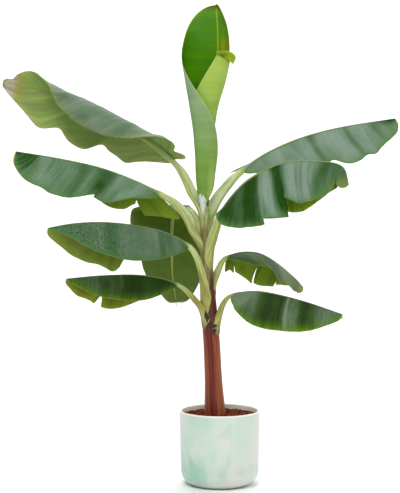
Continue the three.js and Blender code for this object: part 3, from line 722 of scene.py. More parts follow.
def under_finish(kind):
    plain, vein, brown = LEAF_COLOURS[kind]["under"]
    finish = Finish(f"leaf_under_{kind}", Roughness=0.6, Specular_IOR_Level=DULL)
    streaks = finish.noise(5, 0.45, detail=5, rough=0.6).ramp((0.35, 0), (0.68, 1))
    veins = veins_of(finish)
    band = finish.mask("Blue")
    # The bands: brown where low and paler where high; near the base of the top_left leaf's right half the
    # pale ones are painted light against the shade of its other half.
    colour = finish.mix(band.ramp((0.1, 0.75), (0.45, 0)), plain, brown)
    colour = colour.tint(vein, band.ramp((0.55, 0), (0.95, 0.8)))
    colour = colour.tint(vein, streaks * 0.4)
    colour = colour.tint(brown, finish.noise(1.6, 1.3).ramp((0.5, 0), (0.7, 0.5)))
    colour = colour.tint(vein, veins.ramp((0.5, 0), (0.75, 0.25)))
    colour = blade_edges(finish, colour, streaks, vein)
    return finish.done(colour, veins, depth=0.7)


def margin_finish():
    finish = Finish("leaf_margin", Roughness=0.6)
    return finish.done(finish.noise(8, 8).shades(0.35, 0.65, (0.2, 0.25, 0.08), (0.36, 0.39, 0.17)))


def spear_inner_finish():
    finish = Finish("new_leaf_inner", Specular_IOR_Level=DULL, Roughness=0.42)
    streaks = finish.noise(3, 0.5, detail=4)
    colour = streaks.shades(0.34, 0.7, (0.035, 0.175, 0.0005), (0.06, 0.21, 0.001), (0.09, 0.24, 0.003))
    tip = finish.noise(1.2, 1, detail=2).shades(0.4, 0.6, (0.075, 0.21, 0.02), (0.115, 0.26, 0.045))
    colour = colour.tint(tip, finish.reach().ramp((0.46, 0), (0.56, 0.6)))
    # Red: paler green at the margins, the rib and the aged patch, and a painted highlight low on the right.
    colour = colour.tint((0.4, 0.52, 0.02), finish.mask("Red"))
    colour = colour.tint(BROWNED_COLOUR, finish.mask("Green"))
    return finish.done(colour, veins_of(finish), strength=0.3)


def spear_outer_finish():
    """Glaucous on the half that lies outside, yellow-green on the half inside it, deeper green low down."""
    finish = Finish("new_leaf_outer", Specular_IOR_Level=DULL, Roughness=0.5)
    streaks = finish.noise(4, 0.6, detail=4)
    grey = streaks.shades(0.3, 0.7, (0.26, 0.375, 0.235), (0.3, 0.415, 0.275), (0.34, 0.45, 0.31))
    fresh = streaks.shades(0.3, 0.7, (0.34, 0.48, 0.075), (0.38, 0.52, 0.09), (0.43, 0.56, 0.13))
    low = streaks.shades(0.3, 0.7, (0.13, 0.255, 0.037), (0.155, 0.285, 0.048), (0.18, 0.31, 0.06))
    colour = fresh.tint(grey, finish.mask("Blue"))
    colour = colour.tint(low, finish.reach().ramp((0.12, 0.95), (0.48, 0)))
    # Red: paler at the margins, the rib and the aged patch, and a painted highlight low on the right.
    colour = colour.tint((0.42, 0.55, 0.15), finish.mask("Red") * 0.5)
    colour = colour.tint(BROWNED_COLOUR, finish.mask("Green"))
    return finish.done(colour, veins_of(finish), strength=0.3)


# Finishes of the limbs, the stem and what hangs on it

def limb_finish():
    """Pale petioles with fine lines and maroon lips, brown and olive low down, greener on the blades."""
    finish = Finish("petiole", Specular_IOR_Level=0.3)
    lines = finish.noise(0.7, 14, detail=4, rough=0.6)
    streaks = finish.noise(1.1, 20, detail=4, rough=0.65)
    patches = finish.noise(1.4, 1.6)
    side, foot, height = finish.mask("Blue"), finish.mask("Green"), finish.height()
    colour = lines.shades(0.36, 0.64, (0.25, 0.34, 0.05), (0.41, 0.5, 0.13), (0.57, 0.63, 0.31))
    pale = side.ramp((0.1, 0.95), (0.45, 0)) * patches.ramp((0.36, 0.15), (0.62, 0.9))
    colour = colour.tint((0.56, 0.64, 0.41), pale)
    colour = colour.tint((0.24, 0.15, 0.05), streaks.ramp((0.54, 0), (0.68, 0.6)))
    aged = lines.shades(0.36, 0.64, (0.16, 0.12, 0.022), (0.29, 0.28, 0.05), (0.41, 0.45, 0.11))
    colour = colour.tint(aged, height.ramp((0.49, 0.4), (0.54, 0.8), (0.65, 0)))
    colour = colour.tint((0.26, 0.34, 0.08), side.ramp((0.5, 0), (0.55, 0.8)))
    rib_top = side.shades(0.76, 1, (0.22, 0.31, 0.18), (0.05, 0.11, 0.03))
    colour = colour.tint(rib_top, side.ramp((0.58, 0), (0.72, 0.95)))
    brown = lines.shades(0.36, 0.54, (0.2, 0.1, 0.045), (0.36, 0.27, 0.1))
    colour = colour.tint(brown, foot.ramp((0, 0), (0.5, 1)) * patches.ramp((0.36, 0.3), (0.56, 0.9)))
    on_stem = height.shades(0.44, 0.52, (0.17, 0.05, 0.024), (0.19, 0.16, 0.03))
    colour = colour.tint(on_stem, foot.ramp((0.5, 0), (0.95, 1)))
    colour = colour.tint((0.15, 0.045, 0.03), finish.mask("Red") * lines.ramp((0.3, 0.15), (0.6, 0.7)))
    return finish.done(colour, lines, strength=0.4, roughness=patches.ramp((0.3, 0.38), (0.7, 0.52)))


def stem_finish():
    """Maroon and rust sheaths below, olive ones with maroon streaks above."""
    finish = Finish("pseudostem", Specular_IOR_Level=0.3)
    lines = finish.noise(0.35, 16, detail=5, rough=0.6)
    bands = finish.noise(0.12, 3.2, detail=2)
    height = finish.height()
    maroon = lines.shades(0.36, 0.64, (0.07, 0.003, 0.003), (0.14, 0.009, 0.006), (0.21, 0.026, 0.013))
    rust = lines.shades(0.36, 0.64, (0.17, 0.024, 0.008), (0.27, 0.06, 0.012), (0.36, 0.125, 0.032))
    olive = lines.shades(0.34, 0.66, (0.06, 0.03, 0.01), (0.21, 0.19, 0.055), (0.4, 0.42, 0.14))
    pale = lines.shades(0.3, 0.7, (0.3, 0.37, 0.1), (0.55, 0.6, 0.35))
    colour = maroon.tint(rust, finish.mask("Blue"))
    colour = colour.tint((0.06, 0.026, 0.014), height.ramp((0.44, 0), (0.5, 0.65)))
    colour = colour.tint(olive, (finish.mask("Green") + (lines + -0.5)).ramp((0.25, 0), (0.75, 1)))
    colour = colour.tint((0.045, 0.012, 0.01), finish.mask("Red") * lines.ramp((0.3, 0.4), (0.6, 1)))
    colour = colour.tint(pale, height.ramp((0.76, 0), (0.8, 0.9)))
    return finish.done(colour, lines, depth=0.6, roughness=bands.ramp((0.3, 0.34), (0.7, 0.5)))


def papery_finish():
    finish = Finish("papery_sheath", Roughness=0.6)
    lines = finish.noise(2, 24)
    colour = lines.shades(0.3, 0.6, (0.5, 0.55, 0.5), (0.59, 0.66, 0.6))
    return finish.done(colour.tint((0.34, 0.38, 0.16), finish.mask("Red")), lines, depth=0.3, strength=0.4)


def withered_finish():
    finish = Finish("withered_sheath", Roughness=0.8)
    lines = finish.noise(20, 30, detail=4, rough=0.7)
    colour = lines.shades(0.35, 0.65, (0.012, 0.006, 0.004), (0.07, 0.03, 0.015))
    return finish.done(colour.tint((0.4, 0.36, 0.3), finish.mask("Red")), lines, depth=0.8, strength=0.6)


# Finishes of the pot, the soil and the floor

def glaze_finish():
    """Mint washes that run into white under a satin glaze, stronger low on one side, with a cream lip."""
    finish = Finish("pot_glaze", Coat_Weight=0.15, Coat_Roughness=0.3)
    wash = finish.noise(7, 7, 5, rough=0.5, warp=0.3)
    pools = finish.noise(13, 13, 9, detail=4, warp=0.4) + finish.mask("Green") * 0.42
    grain = finish.noise(420, 420, 420, detail=2)
    colour = wash.ramp((0.33, (0.47, 0.64, 0.54)), (0.46, (0.58, 0.69, 0.61)), (0.58, (0.65, 0.69, 0.62)),
                       (0.7, (0.695, 0.69, 0.63)))
    colour = colour.tint((0.31, 0.56, 0.44), pools.ramp((0.58, 0), (0.85, 0.9)))
    # Red: the lip's cream, and inside the pot painted light against its shade.
    colour = colour.tint((0.86, 0.84, 0.72), finish.mask("Red"))
    # Blue: darker towards the foot.
    colour = colour.tint((0.45, 0.44, 0.36), finish.mask("Blue"))
    return finish.done(colour, grain, depth=0.15, strength=0.3, roughness=wash.ramp((0.3, 0.34), (0.7, 0.5)))


def soil_finish():
    finish = Finish("potting_soil", Roughness=0.95, Specular_IOR_Level=DULL)
    clods = finish.noise(90, 90, 90, detail=5, rough=0.7)
    grains = finish.noise(520, 520, 520)
    colour = clods.ramp((0.3, (0.05, 0.011, 0.005)), (0.5, (0.13, 0.027, 0.012)), (0.72, (0.2, 0.05, 0.023)))
    return finish.done(colour, grains, depth=1.2, strength=0.8)


def crumb_finish():
    finish = Finish("soil_crumbs", Roughness=0.95, Specular_IOR_Level=DULL)
    grains = finish.noise(260, 260, 260, detail=4)
    colour = grains.ramp((0.3, (0.045, 0.01, 0.004)), (0.55, (0.115, 0.024, 0.01)),
                         (0.75, (0.175, 0.045, 0.019)))
    return finish.done(colour, grains, depth=0.6, strength=0.6)


def floor_finish():
    finish = Finish("floor", Roughness=0.8)
    return finish.done(finish.noise(3, 3, 3).ramp((0.3, 0.9), (0.7, 0.92)))


# Pot and soil

def arc(centre, radius, start, end, steps):
    turn = np.radians(np.linspace(start, end, steps + 1))
    return stacked(centre[0] + radius * np.cos(turn), centre[1] + radius * np.sin(turn))


def wall_radius(z):
    return POT["base_radius"] + (POT_TOP.x - POT["base_radius"]) * z / POT_TOP.z


def make_pot():
    """A turned pot: flat underside with a recess, rounded foot, slightly flared wall and rounded lip."""
    lip, wall, edge, floor, deep = (POT[key] for key in ("lip", "wall", "edge_round", "floor", "recess"))
    foot = wall_radius(0) - edge
    recess = foot - POT["foot_ring"]
    inner = wall_radius(floor) - wall
    shoulder = POT_TOP.z - lip
    profile = np.vstack([
        [[0, deep], [recess - 3, deep], [recess, 0.8 * deep], [recess + 2, 0.08 * deep], [recess + 4, 0]],
        arc((foot, edge), edge, -90, 0, 14),
        [[wall_radius(z), z] for z in np.linspace(edge + 8, shoulder - 3, 24)],
        arc((POT_TOP.x - lip, shoulder), lip, 0, 180, 12),
        [[wall_radius(z) - wall, z] for z in np.linspace(shoulder - 3, floor + 20, 8)],
        [[inner - 14, floor], [0, floor]],
    ])
    turn = circle(POT["sides"])
    height = profile[:, 1:]
    radius = profile[:, :1] * (1 + POT["uneven"] * wander(turn * 1.9, SEEDS["pot"]) * np.sin(turn / 2))
    points = stacked(radius * np.cos(turn), radius * np.sin(turn), height)
    inside = np.arange(len(profile))[:, None] >= len(profile) - POT["cream_rows"]
    # The inside rows get 0.7 of the lip's pale cream: painted light, paler than the glaze in the shade inside
    # the pot.
    cream_and_inside_light = np.maximum(ramp(POT_TOP.z - 5, POT_TOP.z - 2, height), 0.7 * inside)
    mint_height, mint_spread = POT["mint"]
    facing = 0.5 + 0.5 * np.cos(turn - math.radians(POT["mint_side"]))
    masks = cream_and_inside_light, bell(height - mint_height, mint_spread) * facing ** 3, 0.6 * bell(height, POT["dark_foot"])
    pot = mesh_object("glazed_pot", points, tube_faces(len(profile), POT["sides"]), masks=masks)
    add_piece(pot, ["glaze"], ["pot"])


def make_soil():
    """Uneven soil, higher round the stem, with loose crumbs on it."""
    rng = np.random.default_rng(SEEDS["soil"])
    rings, sectors = SOIL["rings"], SOIL["sectors"]
    inside = wall_radius(GROUND) - POT["wall"] - SOIL["gap"]
    radii = inside * np.linspace(0, 1, rings + 1)[1:, None]
    turn = circle(sectors)
    x, y = radii * np.cos(turn), radii * np.sin(turn)
    z = GROUND - 1 + 0 * x
    for count, height in SOIL["waves"]:
        angle, phase = rng.uniform(0, 2 * np.pi, (2, 9, 1, 1))
        across = count / inside * (x * np.cos(angle) + y * np.sin(angle))
        z += SOIL["bumps"] * height * np.sin(across * rng.uniform(0.6, 1.4, (9, 1, 1)) + phase).mean(0)
    mound, spread = SOIL["mound"]
    z += mound * bell(np.hypot(x - STEM["foot"][0], y - STEM["foot"][1]), spread)
    surface = stacked(x, y, z)
    skirt = surface[-1] - [0, 0, SOIL["skirt"]]
    points = np.vstack([surface.reshape(-1, 3), skirt, [[0, 0, z[0].mean()]]])
    faces = tube_faces(rings + 1, sectors)
    faces += [[len(points) - 1, j, (j + 1) % sectors] for j in range(sectors)]
    add_piece(mesh_object("soil_surface", points, faces), ["soil"], ["soil"])
    make_crumbs(rng, surface)


def make_crumbs(rng, surface):
    corners = np.array([(1, 0, 0), (-1, 0, 0), (0, 1, 0), (0, -1, 0), (0, 0, 1), (0, 0, -1)], float)
    sides = [(0, 2, 4), (2, 1, 4), (1, 3, 4), (3, 0, 4), (2, 0, 5), (1, 2, 5), (3, 1, 5), (0, 3, 5)]
    points, faces = [], []
    for _ in range(SOIL["crumbs"]):
        i = int((SOIL["rings"] - 2) * math.sqrt(rng.uniform()))
        j = rng.integers(SOIL["sectors"])
        low, high = SOIL["crumb_size"]
        size = low + (high - low) * rng.uniform() ** 3
        shape = corners * rng.uniform(0.6, 1.2, (6, 3)) * size
        faces += [[len(points) + k for k in side] for side in sides]
        points += list(shape + surface[i, j] + [0, 0, size * 0.3])
    crumbs = mesh_object("soil_crumbs", points, faces)
    crumbs.data.shade_flat()
    add_piece(crumbs, ["crumbs"])


# Pseudostem

def stem_radius(z):
    low = GROUND - STEM["sunk"]
    return along(STEM["radii"], (z - low) / (STEM["top"] - low))


def make_stem():
    """Overlapping sheaths: the radius grows round each one and drops at the next one's edge."""
    s = np.linspace(0, 1, STEM["rings"] + 1)[:, None]
    low = GROUND - STEM["sunk"]
    height = low + (STEM["top"] - low) * s
    turn = circle(STEM["sides"], 360)
    local = (turn - STEM["edge_drift"] * s - 5 * wander(s * 6, SEEDS["edges"])) % 360
    edges, rust = np.array(STEM["sheaths"], float).T
    slot = np.searchsorted(edges, local, side="right") - 1
    gap = np.diff(np.concatenate([edges, edges[:1] + 360]))[slot]
    share = (local - edges[slot]) % 360 / gap
    raised = STEM["edge_step"] * (ramp(0, 0.06, share) - share) * ramp(0, 0.1, s + 0.05)
    radius = along(STEM["radii"], s) + raised + 0.25 * wander(local / 7 + 40, SEEDS["stem"])
    points = stem_axis(height) + radius[..., None] * outward(np.radians(turn))
    at_edge = 0.7 * bell(np.minimum(share, 1 - share) * gap, STEM["edge_width"])
    red_side = bell((turn - STEM["red_side"] + 180) % 360 - 180, STEM["red_spread"])
    olive = ramp(*STEM["olive"], height - STEM["red_rise"] * red_side)
    masks = at_edge, olive, rust[slot] * (1 - ramp(*STEM["rust_fades"], height))
    stem = mesh_object("pseudostem_sheaths", points, tube_faces(*points.shape[:2]), (height, turn), masks)
    add_piece(stem, ["stem"], ["pseudostem"])


# Petioles and midribs

def section_outline(name):
    """A section's outline as a smooth closed line."""
    knots = np.array(SECTIONS[name], float)
    count = len(knots)
    t = circle(LIMB["sides"], count)
    i = t.astype(int)
    return cubic(*(knots[(i + k) % count] for k in (-1, 0, 1, 2)), (t - i)[:, None])


def rib_half(leaf, s):
    """Half the rib's width, which falls off quickly where the blade begins."""
    share = 0.08 + 0.42 * (1 - s) + 0.5 * np.exp(-s / 0.035)
    return leaf["limb"][1] / 2 * share * (1 + (leaf.get("rib", 1) - 1) * ramp(0, 0.06, s))


class Limb:
    """The petiole, from the sheath at its foot, and the rib that it becomes under the blade.

    s are the places of the petiole's rings, r those of the rib's, and turn the places round a ring.
    """

    def __init__(self, leaf):
        self.leaf = leaf
        self.petiole, self.midrib = rails_of(leaf)
        self.begin = leaf.get("foot", 0)
        self.s = np.linspace(self.begin, 1, LIMB["petiole_rings"], endpoint=False)
        self.r = np.linspace(0, leaf.get("rib_end", 0.985), LIMB["rib_rings"])
        self.turn = circle(LIMB["sides"], 1)
        wide, slim = leaf["limb"]
        foot = LIMB["foot_taper"] + (1 - LIMB["foot_taper"]) * ramp(0, 0.25, self.s)
        self.half = self.both((wide + (slim - wide) * self.s) * foot / 2, rib_half(leaf, self.r))

    def both(self, on_petiole, on_rib):
        """A column of values, for the petiole's rings and then for the rib's."""
        return np.concatenate([on_petiole + 0 * self.s, on_rib + 0 * self.r])[:, None]

    def on_stem(self, outline):
        """The petiole's rings as a tongue that widens from its foot and hugs the stem."""
        s, begin = self.s[:, None], self.begin
        right, left = self.leaf["clasp"]
        spread = 0.2 + 0.8 * ramp(begin, max(0.28, begin + 0.25), s)
        aside = outline[..., 0]
        angle = np.radians(self.leaf["azimuth"] - aside * np.where(aside > 0, right, left) * spread)
        within = ramp(0.53, 0.6, self.turn) * (1 - ramp(0.82, 0.89, self.turn))
        belly = np.clip(0.3 - outline[..., 1], 0, 1)
        rise = LIMB["sheath"] * ramp(begin, begin + 0.15, s) * (0.4 + 0.6 * belly) - 0.8
        height = self.petiole.at(s)[0][..., 2] + np.minimum(s, 0) * self.petiole.length
        radius = stem_radius(height) + rise - 5 * within
        return stem_axis(height) + radius[..., None] * outward(angle)

    def points(self):
        s, r = self.s, self.r
        sheath, channel, ridge = (section_outline(name) for name in ("sheath", "channel", "rib"))
        clasp = self.both(1 - ramp(0.3, 0.75, s), 0)[..., None]
        rib = self.both(0.3 * ramp(0.8, 1, s), 0.3 + 0.7 * ramp(0, 0.1, r))[..., None]
        free = channel * (1 - clasp) + sheath * clasp
        outline = (free * (1 - rib) + ridge * rib) * self.half[..., None]
        centre, forward = (np.vstack(pair) for pair in zip(self.petiole.at(s), self.midrib.at(r)))
        twist = self.leaf.get("twist", 0) * ramp(0.15, 0.5, s) * (1 - ramp(0.75, 1, s))
        roll = self.both(twist, along(self.leaf.get("roll", [0]), r) * ramp(0, 0.12, r))
        left, up = directions(self.leaf, forward, roll[:, 0])
        points = centre[:, None] - outline[..., :1] * left[:, None] + outline[..., 1:] * up[:, None]
        clinging = (1 - ramp(*self.leaf.get("leaves_stem", (0.15, 0.62)), s))[:, None, None]
        points[:len(s)] = points[:len(s)] * (1 - clinging) + self.on_stem(sheath) * clinging
        return points

    def masks(self):
        """Red: the lips. Green: the belly, then the foot. Blue: from the channel to the rib's top."""
        s, r, turn = self.s, self.r, self.turn
        lips = bell(np.minimum.reduce([abs(turn - place) for place in LIMB["lips"]]), 0.05)
        fade = self.both(1 - 0.75 * ramp(0.2, 1, s), 0.25 * (1 - r))
        melt = self.both(1 - ramp(self.begin, self.begin + 0.3, s), 0)
        belly = bell(turn - 0.2, 0.13) * self.both(1 - ramp(0.3, 0.95, s), 0)
        channel = ramp(0.42, 0.5, turn) * (1 - ramp(0.93, 1, turn)) * self.both(ramp(0.2, 0.6, s), 0)
        off_belly = np.maximum(ramp(0.3, 0.4, turn), 1 - ramp(0.02, 0.08, turn))
        top = LIMB["pale_rib"] if self.leaf["looks"] in LIMB["pale_ribs"] else 1
        rib_top = top * off_belly * self.both(0, ramp(0, 0.05, r))
        rib_belly = self.both(0, 0.12 * ramp(0, 0.04, r))
        side = 0.5 + 0.5 * (np.maximum(rib_top, rib_belly) - channel)
        return fade * lips, 0.5 * belly * (1 - melt) + melt, side


def make_limb(leaf):
    limb = Limb(leaf)
    points = limb.points()
    rings, sides = points.shape[:2]
    faces = tube_faces(rings, sides)
    faces += [list(range(sides))[::-1], list(range((rings - 1) * sides, rings * sides))]
    petiole, rib = limb.petiole.length, limb.midrib.length
    uv = limb.both(limb.s * petiole, petiole + limb.r * rib), limb.half * 6.3 * limb.turn
    obj = mesh_object(f"limb_{leaf['name']}", points, faces, uv, limb.masks())
    add_piece(obj, ["limb"], [f"petiole_{leaf['name']}"])


# Blades

class HalfBlade:
    """One half of a leaf's blade, with side 1 for the left and -1 for the right one.

    s runs along the blade from base to tip, and x from the midrib to the margin.
    """

    def __init__(self, leaf, side):
        self.leaf = leaf
        self.side = side
        self.form = leaf["left" if side > 0 else "right"]
        self.tears = self.form.get("tears", [])
        self.midrib = rails_of(leaf)[1]
        self.seed = leaf["azimuth"] % 360 * 2 + (side > 0)

    def width(self, s):
        """The half's width, closed at both ends, with its lobes and bites."""
        count, height, phase = self.form.get("lobes", (0, 0, 0))
        closing = np.maximum(4 * s * (1 - s), 0) ** BLADE["ends"]
        lobed = 1 + height * np.sin(2 * np.pi * (count * s + phase))
        for place, spread, depth in self.form.get("bites", []):
            lobed = lobed - depth * bell(s - place, spread)
        return np.maximum(rib_half(self.leaf, s), along(self.form["width"], s) * closing * lobed)

    def along_veins(self, s, x):
        """How far along the midrib the vein through a point begins."""
        return (s - self.form.get("veins", 0) * x) * self.midrib.length

    def ruffle(self, s, x):
        """How far the blade leaves its smooth form: pleats along the veins, waves at the margin, folds."""
        pleats, waves = self.leaf["ruffle"]
        coarse, fine = (self.along_veins(s, x) / length for length in BLADE["pleats"])
        lift = pleats * x ** 0.7 * (wander(coarse, self.seed) + 0.5 * wander(fine, self.seed + 1000))
        wave = self.along_veins(s, x) / BLADE["waves"] + 0.8 * x
        lift += waves * x ** 2.5 * wander(wave, self.seed + 2000)
        for place, slant, spread, height in self.form.get("folds", []):
            lift += height * x ** 0.8 * np.exp(-abs(s - place - slant * x) / spread)
        return lift * ramp(0, 0.08, s) * ramp(0, 0.06, 1 - s)

    def tones_with_shade_and_sheen(self, s, x):
        """Deep and waxy bands along the veins, about a middle of 0.5, with painted shade in folds and painted
        sheen on wax.
        """
        rng = np.random.default_rng(self.seed)
        bands = list(self.form.get("bands", []))
        strength = 0.25 if bands else 0.6
        for _ in range(BLADE["loose_bands"]):
            *band, tone = rng.uniform((0.05, -0.04, 0.015, -1), (0.95, 0.04, 0.07, 1))
            bands.append([*band, strength * tone])
        total = sum(tone * bell(s - place - slant * x, spread) for place, slant, spread, tone in bands)
        return 0.5 + 0.5 * np.clip(total, -1, 1)

    def points(self, s, x, lift):
        """Points of the upper face, raised by lift."""
        centre, forward = self.midrib.at(s)
        left, up = directions(self.leaf, forward, along(self.leaf.get("roll", [0]), s))
        width = self.width(s)
        droop, curl = (np.radians(along(self.form[key], s)) for key in ("droop", "curl"))
        bend = np.where(abs(curl) < 1e-4, 1e-4, curl)
        angle = droop + bend * x
        aside = width * (np.sin(angle) - np.sin(droop)) / bend + lift * np.sin(angle)
        fall = width * (np.cos(droop) - np.cos(angle)) / bend - lift * np.cos(angle)
        ahead = x * x * (width - rib_half(self.leaf, s)) * along(self.form["sweep"], s)
        across = self.side * aside[..., None] * left - fall[..., None] * up
        return centre + across + ahead[..., None] * forward

    def columns(self):
        """The sheet's columns as (place, bank, tear). A tear has bank -1 before it and bank 1 past it."""
        near = 0.6 / BLADE["columns"]
        steps = crowded(BLADE["columns"])
        columns = [(s, 0, None) for s in steps if all(abs(s - tear[0]) > near for tear in self.tears)]
        columns += [(tear[0], bank, tear) for tear in self.tears for bank in (-1, 1)]
        return sorted(columns, key=lambda column: column[:2])

    def reach(self, columns):
        """How far each column reaches over the half's width, by its piece between tears."""
        pieces = self.form.get("pieces", [[1]])
        cuts = [0] + [tear[0] for tear in self.tears][:len(pieces) - 1] + [1]
        reach = []
        for s, bank, _ in columns:
            k = sum((s, bank) > (cut, 0) for cut in cuts[1:-1])
            reach.append(along(pieces[k], (s - cuts[k]) / (cuts[k + 1] - cuts[k])))
        return np.array(reach, float)[:, None]

    def parted(self, columns, s, rows):
        """How far the tears move each point along the blade and out of it."""
        shift, lift = 0 * s * rows, 0 * s * rows
        for place, depth, gap, step in self.tears:
            past = np.array([1 if column[:2] > (place, 0) else -1 for column in columns])[:, None]
            opened = past * np.clip((rows - 1 + depth) / depth, 0, 1)
            shift += gap * opened * np.exp(-abs(s - place) / (3 * gap))
            lift += step * opened * np.exp(-abs(s - place) / 0.05)
        return shift, lift

    def faces(self, columns, rows):
        """Quads of the sheet, with the two banks of a tear joined up to where it begins."""
        index = np.arange(len(columns) * len(rows)).reshape(-1, len(rows))
        for i, (_, bank, tear) in enumerate(columns):
            if bank > 0:
                joined = rows <= 1 - tear[1]
                index[i, joined] = index[i - 1, joined]
        quads = np.stack([index[:-1, :-1], index[1:, :-1], index[1:, 1:], index[:-1, 1:]], -1)
        kept = [i for i, column in enumerate(columns[:-1]) if column[1] >= 0]
        return quads[kept].reshape(-1, 4)[:, ::self.side]

    def sheet(self):
        """The half as a sheet that is split along its tears: points, faces, places and masks."""
        columns = self.columns()
        rows = np.linspace(0, 1, BLADE["rows"] + 1)
        s = np.array([column[0] for column in columns])[:, None]
        shift, lift = self.parted(columns, s, rows)
        s = np.clip(s + shift, 0, 1)
        width = self.width(s)
        rib_end = self.leaf.get("rib_end", 1)
        start = 0.6 * rib_half(self.leaf, s) / width * (1 - ramp(rib_end - 0.15, rib_end - 0.03, s))
        ragged = np.maximum(rows - BLADE["whole"], 0) / (1 - BLADE["whole"])
        x = start + (1 - start) * (rows + (self.reach(columns) - 1) * ragged)
        points = self.points(s, x, self.ruffle(s, x) + lift)
        margin = np.exp(-(x[:, -1:] - x) * width / BLADE["margin"])
        dry_from, dryness = self.leaf["dry"]
        dry = dryness * ramp(dry_from, 1, s + 0.02 * (x - 0.5))
        places = stacked(self.along_veins(s, x), self.side * x * width)
        # Blue: the bands, with their painted shade and painted sheen.
        masks = stacked(margin, dry, self.tones_with_shade_and_sheen(s, x))
        return points.reshape(-1, 3), self.faces(columns, rows), places.reshape(-1, 2), masks.reshape(-1, 3)


def make_blade(leaf):
    """Both halves of a blade, without the points that the two lips of a tear share."""
    left, right = (HalfBlade(leaf, side).sheet() for side in (1, -1))
    points, faces, uv, masks = (np.vstack(pair) for pair in zip(left, right))
    faces[len(left[1]):] += len(left[0])
    used, faces = np.unique(faces, return_inverse=True)
    name, looks = leaf["name"], leaf["looks"]
    blade = mesh_object(f"blade_{name}", points[used], faces.reshape(-1, 4), uv[used].T, masks[used].T)
    finishes = [f"upper_{looks}", f"under_{looks}", "margin"]
    add_piece(blade, finishes, [f"leaf_{name}"], BLADE["thickness"])


# The new leaf

def spear_points(s, share, width):
    """Points of the rolled sheet and their angles, at height s and share -1, right margin, to 1, left one."""
    radius = along(SPEAR["radii"], s)
    layer = SPEAR["layer"] * np.minimum(1, radius / SPEAR["full_layer"])
    turn = share * width / (radius * (1 + SPEAR["depth"]) * 0.5)
    angle = np.radians(along(SPEAR["rib_angle"], s)) + turn
    x = along(SPEAR["axis"], s) + (radius + layer * share) * np.cos(angle)
    y = (radius * SPEAR["depth"] + layer * share) * np.sin(angle)
    return stacked(x, y, STEM["top"] + (SPEAR["top"] - STEM["top"]) * s), angle


def make_spear():
    """A sheet rolled about the stem's top: its left half lies outside, its right half inside."""
    s = crowded(SPEAR["columns"])[:, None]
    share = np.linspace(1, -1, 2 * SPEAR["rows"] + 1)
    closing = np.sqrt(np.maximum(1 - s ** SPEAR["tip_round"], 0))
    cut_back = 1 - (1 - SPEAR["above_lip"]) * ramp(SPEAR["lip"] - 0.004, SPEAR["lip"] + 0.004, s)
    right = along(SPEAR["right"], s) * cut_back
    width = np.where(share > 0, along(SPEAR["left"], s), right) * closing + 2
    points, _ = spear_points(s, share, width)
    margin = bell((1 - abs(share)) * width, 2.5)
    rib = 0.75 * bell(share * width, 1.5)
    aged = bell(s - 0.79, 0.05) * ramp(0, 0.25, -share)
    mottled = 0.45 + 0.35 * wander(9 * s + 5 * share, SEEDS["new_leaf"])
    to_right = (points[..., 0] - along(SPEAR["axis"], s)) / along(SPEAR["radii"], s)
    # Painted highlight: the low part of the roll that faces right is paler, as where light falls on it. fresh
    # also pales the margins, the rib and the aged patch.
    painted_highlight = 0.9 * ramp(0.2, 0.9, to_right) * (1 - ramp(0.12, 0.3, s))
    fresh = np.maximum.reduce([margin, rib, 0.5 * aged, painted_highlight])
    browned = np.maximum(ramp(0.965, 1, s), aged * mottled)
    outside = ramp(-0.1, 0.1, share) * (0.25 + 0.75 * ramp(0.1, 0.45, s))
    uv = s * (SPEAR["top"] - STEM["top"]), share * width
    spear = mesh_object("new_leaf", points, sheet_faces(*points.shape[:2]), uv, (fresh, browned, outside))
    add_piece(spear, ["spear_inner", "spear_outer", "margin"], ["leaf_spear"], SPEAR["thickness"])


def make_lip():
    """The new leaf's corner: up from the cut edge, over and down on the outside."""
    t = np.linspace(0, 1, LIP["columns"])[:, None]
    q = np.linspace(0, 1, LIP["rows"])
    share = -(LIP["reach"][0] + (LIP["reach"][1] - LIP["reach"][0]) * t)
    height = along(LIP["heights"], t)
    wall, angle = spear_points(height, share, along(SPEAR["right"], height))
    radius, flap = along(LIP["radii"], t), along(LIP["flap"], t)
    roll = math.radians(LIP["turn"])
    reach = q * (radius * roll + flap)
    turned = np.minimum(reach / radius, roll)
    past = np.maximum(reach - radius * roll, 0)
    out = radius * (1 - np.cos(turned)) + past * np.sin(roll)
    up = radius * np.sin(turned) + past * np.cos(roll)
    points = wall + outward(angle) * out[..., None] + stacked(0, 0, up - 1)
    browned = 0.9 * bell(t - 0.15, 0.2) * (0.5 + 0.5 * wander(5 * t + 4 * q, SEEDS["lip"]))
    masks = 0.5 + 0.2 * q, browned, 0
    lip = mesh_object("new_leaf_lip", points, sheet_faces(*points.shape[:2]), (reach, 80 * t), masks)
    add_piece(lip, ["spear_inner", "spear_outer", "margin"], thickness=SPEAR["thickness"])


# Small withered pieces

def make_scrap(name, finish, centre, size, lift, seed):
    """A ragged scrap on the stem, from a row of SCRAPS. A papery one is green at its foot."""
    t = np.linspace(-1, 1, SCRAP["columns"])[:, None]
    q = np.linspace(-1, 1, SCRAP["rows"])
    narrow = np.sqrt(np.maximum(1 - 0.96 * abs(t) ** 3, 0)) * (1 + 0.35 * wander(5 * t + 9, seed))
    angle = np.radians(centre[0] + size[0] / 2 * q * narrow)
    height = centre[1] + size[1] / 2 * t * np.sqrt(1 - 0.9 * q ** 2)
    height = height + 0.2 * size[1] * wander(3 * q + 7, seed + 1)
    out = lift[0] + (lift[1] - lift[0]) * (t + 1) / 2 - 1.2 * q ** 2
    out = out + 0.9 * wander(3.3 * t + 2 * q + 20, seed + 2)
    points = stem_axis(height) + (stem_radius(height) + out)[..., None] * outward(angle)
    green = (finish == "papery") * (1 - ramp(-0.9, 0.2, t))
    faces = sheet_faces(*points.shape[:2])[:, ::-1]
    scrap = mesh_object(name, points, faces, (height, 20 * angle), (green, 0, 0))
    add_piece(scrap, [finish], thickness=SCRAP["thickness"])


